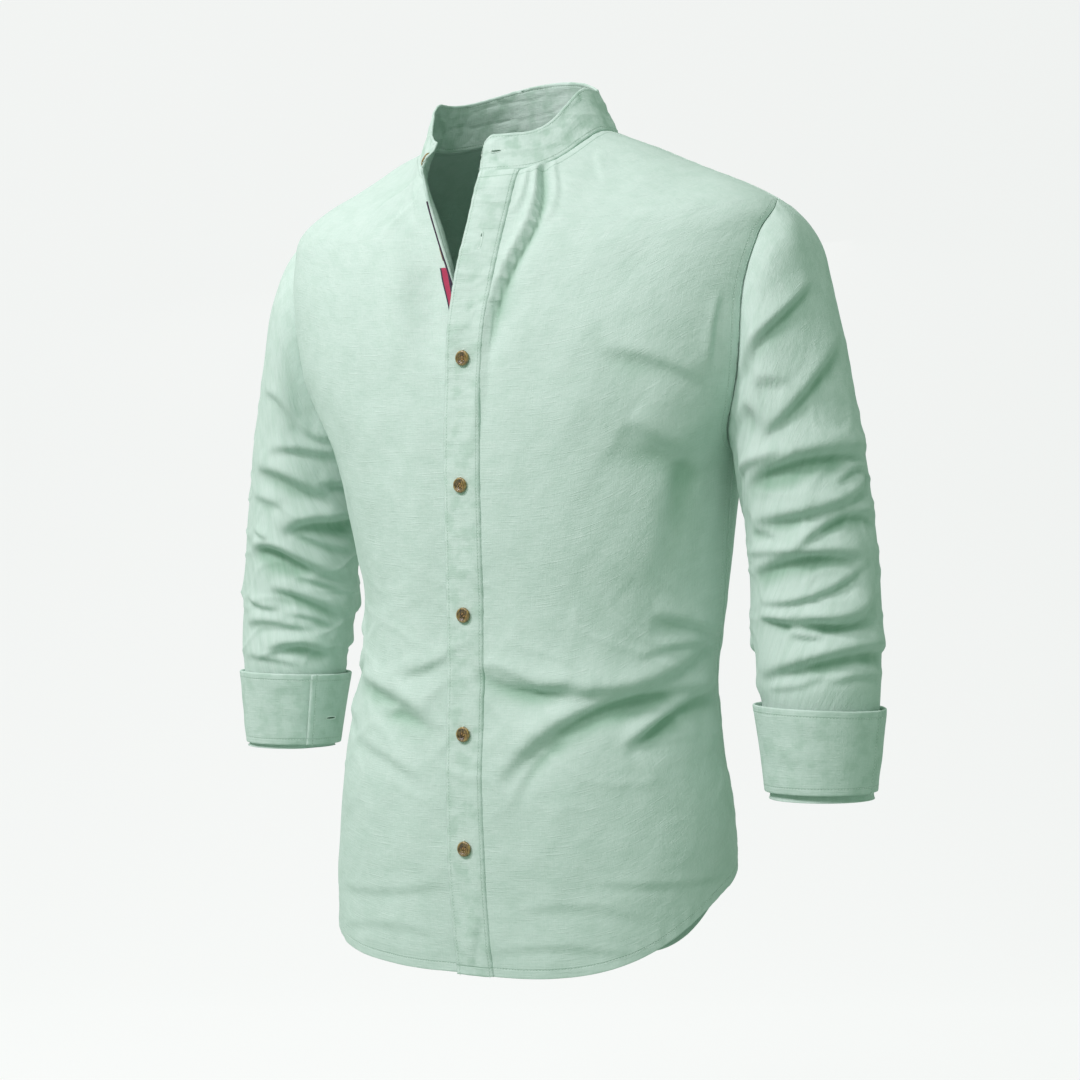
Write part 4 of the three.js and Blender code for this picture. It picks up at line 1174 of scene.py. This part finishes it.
for cloth, material, lift, wall in (
    (front_left, panel_cloth, 0, WALL),
    (front_right, panel_cloth, 0, WALL),
    (back, panel_cloth, 0, WALL),
    (sleeves[1], sleeve_cloth, 0, WALL),
    (sleeves[-1], sleeve_cloth, 0, WALL),
    (placket_left, placket_cloth, PLACKET_LIFT, PLACKET_LEFT_WALL),
    (placket_right, placket_cloth, PLACKET_RIGHT_LIFT, PLACKET_WALL),
    (collar, collar_cloth, COLLAR_LIFT, COLLAR_WALL),
    (cuffs[1], cuff_cloth, 0, CUFF_WALL),
    (cuffs[-1], cuff_cloth, 0, CUFF_WALL),
    (tape, tape_cloth, TAPE_LIFT, TAPE_WALL),
):
    slot = "tape" if cloth is tape else "mint_cloth"
    dress(sew(cloth, material, lift, wall), slot, cloth.name)


# Stitches by Geometry Nodes: one tree, with its sizes as inputs
def stitch_tree():
    tree = bpy.data.node_groups.new("stitches", "GeometryNodeTree")
    face = tree.interface
    face.new_socket("Geometry", in_out="INPUT", socket_type="NodeSocketGeometry")
    for name in ("Pitch", "Length", "Width", "Height"):
        face.new_socket(name, in_out="INPUT", socket_type="NodeSocketFloat")
    face.new_socket("Across", in_out="INPUT", socket_type="NodeSocketBool")
    face.new_socket("Material", in_out="INPUT", socket_type="NodeSocketMaterial")
    face.new_socket("Geometry", in_out="OUTPUT", socket_type="NodeSocketGeometry")

    def add(kind, settings, values):
        """Adds a node with its settings and its sockets' values or links, and gives its first output."""
        node = tree.nodes.new(kind)
        for key, value in settings.items():
            setattr(node, key, value)
        for key, value in values.items():
            if isinstance(value, bpy.types.NodeSocket):
                tree.links.new(value, node.inputs[key])
            else:
                node.inputs[key].default_value = value
        return node.outputs[0]

    given = tree.nodes.new("NodeGroupInput").outputs
    line = add("GeometryNodeMeshToCurve", {}, {0: given["Geometry"]})
    line = add("GeometryNodeResampleCurve", {"mode": "LENGTH"}, {"Curve": line, "Length": given["Pitch"]})
    out = add("GeometryNodeInputNamedAttribute", {"data_type": "FLOAT_VECTOR"}, {"Name": "out"})
    tangent = add("GeometryNodeInputTangent", {}, {})
    sideways = add("ShaderNodeVectorMath", {"operation": "CROSS_PRODUCT"}, {0: out, 1: tangent})
    way = add("GeometryNodeSwitch", {"input_type": "VECTOR"}, {0: given["Across"], 1: tangent, 2: sideways})
    align = "FunctionNodeAlignRotationToVector"
    upright = add(align, {"axis": "Z"}, {"Vector": out})
    turned = add(align, {"axis": "X", "pivot_axis": "Z"}, {"Rotation": upright, "Vector": way})
    ball = add("GeometryNodeMeshUVSphere", {}, {"Segments": 6, "Rings": 4, "Radius": 0.5})
    size = add("ShaderNodeCombineXYZ", {}, {0: given["Length"], 1: given["Width"], 2: given["Height"]})
    places = {"Points": line, "Instance": ball, "Rotation": turned, "Scale": size}
    shape = add("GeometryNodeInstanceOnPoints", {}, places)
    shape = add("GeometryNodeRealizeInstances", {}, {0: shape})
    shape = add("GeometryNodeSetShadeSmooth", {}, {0: shape})
    shape = add("GeometryNodeSetMaterial", {}, {"Geometry": shape, "Material": given["Material"]})
    tree.links.new(shape, tree.nodes.new("NodeGroupOutput").inputs[0])
    return tree


stitches = stitch_tree()


def stitched(name, lines, material, pitch, length, width, height, across=False):
    """Evaluates the stitch tree on lines of points with normals, as one plain mesh."""
    points = np.concatenate([line for line, _ in lines])
    normals = np.concatenate([up for _, up in lines])
    edges = []
    start = 0
    for line, _ in lines:
        edges += [(start + k, start + k + 1) for k in range(len(line) - 1)]
        start += len(line)
    mesh = bpy.data.meshes.new(name)
    mesh.from_pydata((points * MM).tolist(), edges, [])
    out = mesh.attributes.new("out", "FLOAT_VECTOR", "POINT")
    out.data.foreach_set("vector", unit(normals).astype(np.float32).ravel())
    path = in_scene(name + "_path", mesh)
    modifier = path.modifiers.new("stitches", "NODES")
    modifier.node_group = stitches
    inputs = {"Pitch": pitch * MM, "Length": length * MM, "Width": width * MM, "Height": height * MM}
    inputs |= {"Across": across, "Material": material}
    for item in stitches.interface.items_tree:
        if item.in_out == "INPUT" and item.name in inputs:
            modifier[item.identifier] = inputs[item.name]
    result = evaluated_mesh(path)
    bpy.data.objects.remove(path)
    result.name = name
    return dress(in_scene(name, result), "mint_cloth")


def on_face(cloth, kind, offset, lift, start=0.0, end=1.0):
    """A row of stitches at a distance from an edge, lifted from the cloth's own points by some mm."""
    line, up = cloth.line(kind, offset, start, end)
    return line + unit(up) * lift, up


THREAD_LIFT = 0.02
COLLAR_END_ROW = (0.1, 0.75)
FRONT_EDGE_ROW = (0.5, 1)
panels = (front_left, front_right, back)
seams = [on_face(panel, "first_row", HEM_STITCH, THREAD_LIFT) for panel in panels]
seams += [on_face(placket_left, kind, BAND_STITCH, PLACKET_LIFT) for kind in SIDES]
seams.append(on_face(placket_right, "last_column", BAND_STITCH, PLACKET_RIGHT_LIFT - PLACKET_WALL))
for lift in (COLLAR_LIFT, COLLAR_LIFT - COLLAR_WALL):
    seams += [on_face(collar, kind, BAND_STITCH, lift) for kind in ENDS]
seams.append(on_face(collar, "first_column", BAND_STITCH, COLLAR_LIFT, *COLLAR_END_ROW))
seams.append(on_face(back, "last_row", BAND_STITCH, THREAD_LIFT))
for panel in panels:
    for kind in SIDES if panel is back else SIDES[1:]:
        along = (0, 1) if panel is back else FRONT_EDGE_ROW
        seams.append(on_face(panel, kind, EDGE_STITCH, THREAD_LIFT, *along))
        seams.append(on_face(panel, kind, SEAM_STITCH, THREAD_LIFT, 0, SEAM_STITCH_TOP))
for cloth in cuffs.values():
    seams += [on_face(cloth, kind, CUFF_STITCH, THREAD_LIFT) for kind in (*ENDS, "first_column")]
stitched("topstitching", seams, thread, STITCH_PITCH, length=2.0, width=0.5, height=0.36)


# Buttonholes: a ring of satin stitches round a slit
def surface_frame(cloth, row, column):
    """A point on the cloth with its outward and upward directions."""
    point = cloth.points[row, column]
    out = unit(cloth.normals[row, column])
    up = unit(cloth.points[row + 1, column] - cloth.points[row - 1, column])
    return point, out, unit(up - (up @ out) * out)


def oval(turn, along, side, length, width, power=1.0):
    """Points of an oval round zero: a power under 1 squares its ends."""
    lengthways = np.outer(length / 2 * squared(np.cos(turn), power), along)
    return lengthways + np.outer(width / 2 * squared(np.sin(turn), power), side)


# A buttonhole's stitched ring and the slit inside it, in mm
HOLE_WIDTH = 2.6
HOLE_SQUARE = 0.6
HOLE_LIFT = 0.08
SLIT_SHORTER = 2
SLIT_WIDTH = 1.2
SLIT_DEPTH = 0.35
SLIT_LIFT = 0.06
SLIT_POINTS = 24


def hole_ring(point, out, along, length, lift):
    """A closed line round a buttonhole."""
    turn = np.linspace(0, 2 * np.pi, 41)
    ring = oval(turn, along, np.cross(out, along), length, HOLE_WIDTH, HOLE_SQUARE)
    return point + out * (lift + HOLE_LIFT) + ring, np.tile(out, (len(turn), 1))


def slit_mesh(name, holes):
    """The slits of all buttonholes, as thin lenses coloured as painted shade: a lower and an upper ring, each
    with its middle.
    """
    points = []
    faces = []
    turn = np.linspace(0, 2 * np.pi, SLIT_POINTS, endpoint=False)
    for point, out, along, length, lift in holes:
        ring = oval(turn, along, np.cross(out, along), length - SLIT_SHORTER, SLIT_WIDTH)
        low = len(points)
        high = low + SLIT_POINTS + 1
        for height in (lift - SLIT_DEPTH, lift + SLIT_LIFT):
            middle = point + out * height
            points += [*(middle + ring), middle]
        for k in range(SLIT_POINTS):
            after = (k + 1) % SLIT_POINTS
            faces.append((low + after, low + k, low + SLIT_POINTS))
            faces.append((high + SLIT_POINTS, high + k, high + after))
            faces.append((low + k, low + after, high + after))
            faces.append((low + k, high + after, high + k))
    return dress(mesh_object(name, np.array(points), np.array(faces), slit), "mint_cloth")


BUTTON_RADIUS = 6.2
BUTTON_THICKNESS = 2.6
BUTTON_HEIGHTS = (-198, -299, -403, -499, -590)
middle_column = int(np.argmin(np.abs(BAND_LEFT - PLACKET_WIDTH / 2)))


def placket_frame(z):
    row = int(np.argmin(np.abs(front_left.points[:, middle_column, 2] - z)))
    return surface_frame(front_left, row, middle_column)


# Buttonholes: their lengths, and their places as a height, a distance or shares of rows and columns
OPEN_HOLE_HEIGHT = -104
PLACKET_HOLE = 14
CROSS_HOLE = 12
COLLAR_HOLE_ROW = 0.52
COLLAR_HOLE_FROM_END = 17
CUFF_HOLE_ROW = 0.45
CUFF_HOLE_COLUMNS = {1: 0.955, -1: 0.075}

holes = []
for z in (OPEN_HOLE_HEIGHT, *BUTTON_HEIGHTS):
    point, out, up = placket_frame(z)
    holes.append((point, out, up, PLACKET_HOLE, PLACKET_LIFT))
collar_row = int(len(COLLAR_HEIGHTS) * COLLAR_HOLE_ROW)
collar_column = int(np.searchsorted(collar.across[collar_row], COLLAR_HOLE_FROM_END))
point, out, up = surface_frame(collar, collar_row, collar_column)
holes.append((point, out, np.cross(out, up), CROSS_HOLE, COLLAR_LIFT))
for sign, column_share in CUFF_HOLE_COLUMNS.items():
    row = int(len(CUFF_HEIGHTS) * CUFF_HOLE_ROW)
    point, out, up = surface_frame(cuffs[sign], row, int(len(CUFF_SHARES) * column_share))
    holes.append((point, out, np.cross(out, up), CROSS_HOLE, 0))
rings = [hole_ring(*hole) for hole in holes]
stitched("buttonhole_stitching", rings, thread, pitch=0.5, length=1.5, width=0.5, height=0.5, across=True)
slit_mesh("buttonhole_slits", holes)


# Buttons: a turned disc with a rim, a dished middle and four holes, its outline in shares of its size
BUTTON_OUTLINE = (
    (0.66, 0),
    (0.9, 0.16),
    (1, 0.42),
    (0.985, 0.66),
    (0.93, 0.86),
    (0.86, 0.97),
    (0.79, 1),
    (0.72, 0.95),
    (0.66, 0.8),
    (0.6, 0.66),
    (0.5, 0.58),
)
BUTTON_DISH = 0.54
BUTTON_SEGMENTS = 48
BUTTON_RIM = (0.7, 0.85)
BUTTON_HOLE_PLACE = 1.55
BUTTON_HOLE_RADIUS = 0.62


def ring_faces(rings, count, start=0):
    """Quads between rings of points that lie one after another."""
    return [
        (a + k, a + (k + 1) % count, a + count + (k + 1) % count, a + count + k)
        for a in range(start, start + (rings - 1) * count, count)
        for k in range(count)
    ]


def button_mesh():
    count = BUTTON_SEGMENTS
    turn = np.linspace(0, 2 * np.pi, count, endpoint=False)
    points = [(0, 0, 0)]
    for across, height in BUTTON_OUTLINE:
        r = across * BUTTON_RADIUS
        points += [(r * math.cos(a), r * math.sin(a), height * BUTTON_THICKNESS) for a in turn]
    points.append((0, 0, BUTTON_DISH * BUTTON_THICKNESS))
    last = len(points) - 1
    faces = ring_faces(len(BUTTON_OUTLINE), count, 1)
    for k in range(count):
        after = (k + 1) % count
        faces += [(0, 1 + after, 1 + k), (last - count + k, last - count + after, last)]
    mesh = bpy.data.meshes.new("button_blank")
    mesh.from_pydata(points, [], faces)
    blank = in_scene("button_blank", mesh)
    cutters = []
    for angle in np.radians((45, 135, 225, 315)):
        centre = (*BUTTON_HOLE_PLACE * np.array((np.cos(angle), np.sin(angle))), BUTTON_THICKNESS / 2)
        sizes = {"vertices": 14, "radius": BUTTON_HOLE_RADIUS, "depth": 3 * BUTTON_THICKNESS}
        bpy.ops.mesh.primitive_cylinder_add(location=centre, **sizes)
        cutters.append(bpy.context.object)
        cut = blank.modifiers.new("hole", "BOOLEAN")
        cut.object = cutters[-1]
        cut.operation = "DIFFERENCE"
        cut.solver = "EXACT"
    bpy.context.view_layer.update()
    result = evaluated_mesh(blank)
    for old in [blank, *cutters]:
        bpy.data.objects.remove(old)
    return result


TUBE_SIDES = 8


def tube(line, across, out, radius):
    """Points and quads of a round tube along a line, from the two directions across it."""
    turn = np.linspace(0, 2 * np.pi, TUBE_SIDES, endpoint=False)[None, :, None]
    ring = np.cos(turn) * across[:, None] + np.sin(turn) * out[:, None]
    points = line[:, None] + radius * ring
    return points.reshape(-1, 3), np.array(ring_faces(len(line), TUBE_SIDES))


# The threads through a button's holes: their thickness, how far they bow up and lie apart, in mm
THREAD_RADIUS = 0.2
THREAD_BOW = 0.42
THREAD_SPREAD = 0.22


def button_thread(side, shift):
    """A short bowed thread from one hole of a button to the next."""
    reach = BUTTON_HOLE_PLACE / math.sqrt(2)
    t = np.linspace(0, 1, 9)
    height = BUTTON_THICKNESS / 2 + THREAD_BOW * np.sin(np.pi * t)
    line = np.stack([mix(-reach, reach, t), np.full(len(t), side * reach + shift), height], 1)
    across, out = (np.tile(way, (len(t), 1)) for way in ((0, -1.0, 0), (0, 0, 1.0)))
    return tube(line, across, out, THREAD_RADIUS)


def turned_to(out, roll):
    """A matrix whose columns are sideways, upward and outward."""
    helper = np.array((0.0, 0.0, 1.0)) if abs(out[2]) < 0.9 else np.array((0.0, 1.0, 0.0))
    side = unit(np.cross(helper, out))
    up = np.cross(out, side)
    c, s = math.cos(roll), math.sin(roll)
    return np.stack([c * side + s * up, c * up - s * side, out], 1)


button_blank = button_mesh()
blank_points = np.array([v.co for v in button_blank.vertices])
BUTTON_GAP = 0.35
OPEN_BUTTON_GAP = 2.9
COLLAR_BUTTON_GAP = 1.6
BUTTON_ROLL = 0.35
places = []
for k, z in enumerate(BUTTON_HEIGHTS):
    point, out, _ = placket_frame(z)
    places.append((f"button_{5 - k}", point + out * (PLACKET_LIFT + BUTTON_GAP), out))
for node, cloth, gap in (("button_6", front_right, OPEN_BUTTON_GAP), ("button_7", collar, COLLAR_BUTTON_GAP)):
    low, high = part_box(node)
    centre = np.array((low + high) / 2) / MM
    gaps = np.linalg.norm(cloth.points - centre, axis=-1)
    row, column = np.unravel_index(np.argmin(gaps), gaps.shape)
    out = unit(cloth.normals[row, column])
    places.append((node, cloth.points[row, column] + out * gap, out))

# Where the rim's painted highlight sets in, from the dish outwards
rim = smooth(*np.multiply(BUTTON_RIM, BUTTON_RADIUS), np.linalg.norm(blank_points[:, :2], axis=1))
thread_points = []
thread_faces = []
for number, (node, point, out) in enumerate(places):
    matrix = turned_to(out, BUTTON_ROLL * number)
    mesh = button_blank.copy()
    mesh.name = node + "_horn"
    mesh.vertices.foreach_set("co", ((blank_points @ matrix.T + point) * MM).astype(np.float32).ravel())
    mesh.materials.clear()
    mesh.materials.append(horn)
    mesh.attributes.new("rim", "FLOAT", "POINT").data.foreach_set("value", rim.astype(np.float32))
    mesh.polygons.foreach_set("use_smooth", np.ones(len(mesh.polygons), bool))
    mesh.update()
    button = in_scene(node + "_horn", mesh)
    button.modifiers.new("even shading", "WEIGHTED_NORMAL").keep_sharp = True
    dress(button, "button", node)
    for side in (-1, 1):
        for shift in (-THREAD_SPREAD, THREAD_SPREAD):
            points, faces = button_thread(side, shift)
            thread_faces.append(faces + sum(len(p) for p in thread_points))
            thread_points.append(points @ matrix.T + point)
threads = (np.concatenate(thread_points), np.concatenate(thread_faces))
dress(mesh_object("button_threads", *threads, brown_thread), "button")

# A fine navy edge up the open right front: its reach on the body's rings, and its radius in mm
PIPING_REACH = (8.6, 11.1)
PIPING_RADIUS = 0.75
piped = (BODY_ROWS > PIPING_REACH[0]) & (BODY_ROWS < PIPING_REACH[1])
out = front_right.normals[piped, 0]
line = front_right.points[piped, 0] - out * WALL / 2
side = unit(np.cross(unit(np.gradient(line, axis=0)), out))
dress(mesh_object("edge_piping", *tube(line, out, side, PIPING_RADIUS), piping), "tape")

# Pale floor and backdrop in one sweep, and soft studio light
FLOOR_Z = -1.15
FLOOR_HALF = 6.0
FLOOR_FRONT = -7.0
BACKDROP_Y = 3.0
BACKDROP_TOP = 6.0
BACKDROP_BEND = 1.0
PAPER_GLOW = 0.76
bend = np.linspace(0.1, math.pi / 2, 12)
sweep = [(FLOOR_FRONT, 0.0), (BACKDROP_Y - BACKDROP_BEND, 0.0)]
sweep += [(BACKDROP_Y - BACKDROP_BEND * (1 - math.sin(a)), BACKDROP_BEND * (1 - math.cos(a))) for a in bend]
sweep += [(BACKDROP_Y, BACKDROP_TOP)]
floor_points = np.array([(x, y, z + FLOOR_Z) for y, z in sweep for x in (-FLOOR_HALF, FLOOR_HALF)])
c, s = math.cos(CAMERA_AZIMUTH), math.sin(CAMERA_AZIMUTH)
floor_points[:, :2] = floor_points[:, :2] @ np.array([[c, s], [-s, c]])
floor_faces = np.array([(2 * k, 2 * k + 1, 2 * k + 3, 2 * k + 2) for k in range(len(sweep) - 1)])
paper = Shader("pale paper")
paper_tone = paper.between(paper.noise(paper.place(), 3.0), linear(122, 122, 122), linear(125, 125, 125))
paper.set(base_color=paper_tone, roughness=0.95, emission_color=(1, 1, 1, 1), emission_strength=PAPER_GLOW)
floor = mesh_object("floor", floor_points / MM, floor_faces, paper.material)
floor.visible_diffuse = False

MIDDLE = Vector((0, 0, -0.35))
ROSE = (1, 0.88, 0.96)
WHITE = (1, 1, 1)
PALE_GREEN = (0.7, 1, 0.78, 1)
AROUND_STRENGTH = 0.39


def area_light(name, place, size, power, colour):
    """A square light of a size in metres and a power in watts, aimed at the middle of the shirt."""
    data = bpy.data.lights.new(name, "AREA")
    data.energy = power
    data.size = size
    data.color = colour
    lamp = in_scene(name, data)
    lamp.location = place
    lamp.rotation_euler = (MIDDLE - Vector(place)).to_track_quat("-Z", "Y").to_euler()


area_light("key_light", (-1.1, -2.3, 1.8), 0.7, 58, ROSE)
area_light("front_light", (0.3, -2.5, 1.8), 0.9, 36, ROSE)
area_light("side_light", (-2.4, -0.6, 1.2), 1.2, 8, WHITE)
area_light("back_light", (-1.4, 2.2, 1.0), 1.6, 12, WHITE)
world = bpy.data.worlds.new("studio")
world.use_nodes = True
world.node_tree.nodes["Background"].inputs["Color"].default_value = PALE_GREEN
world.node_tree.nodes["Background"].inputs["Strength"].default_value = AROUND_STRENGTH
bpy.context.scene.world = world
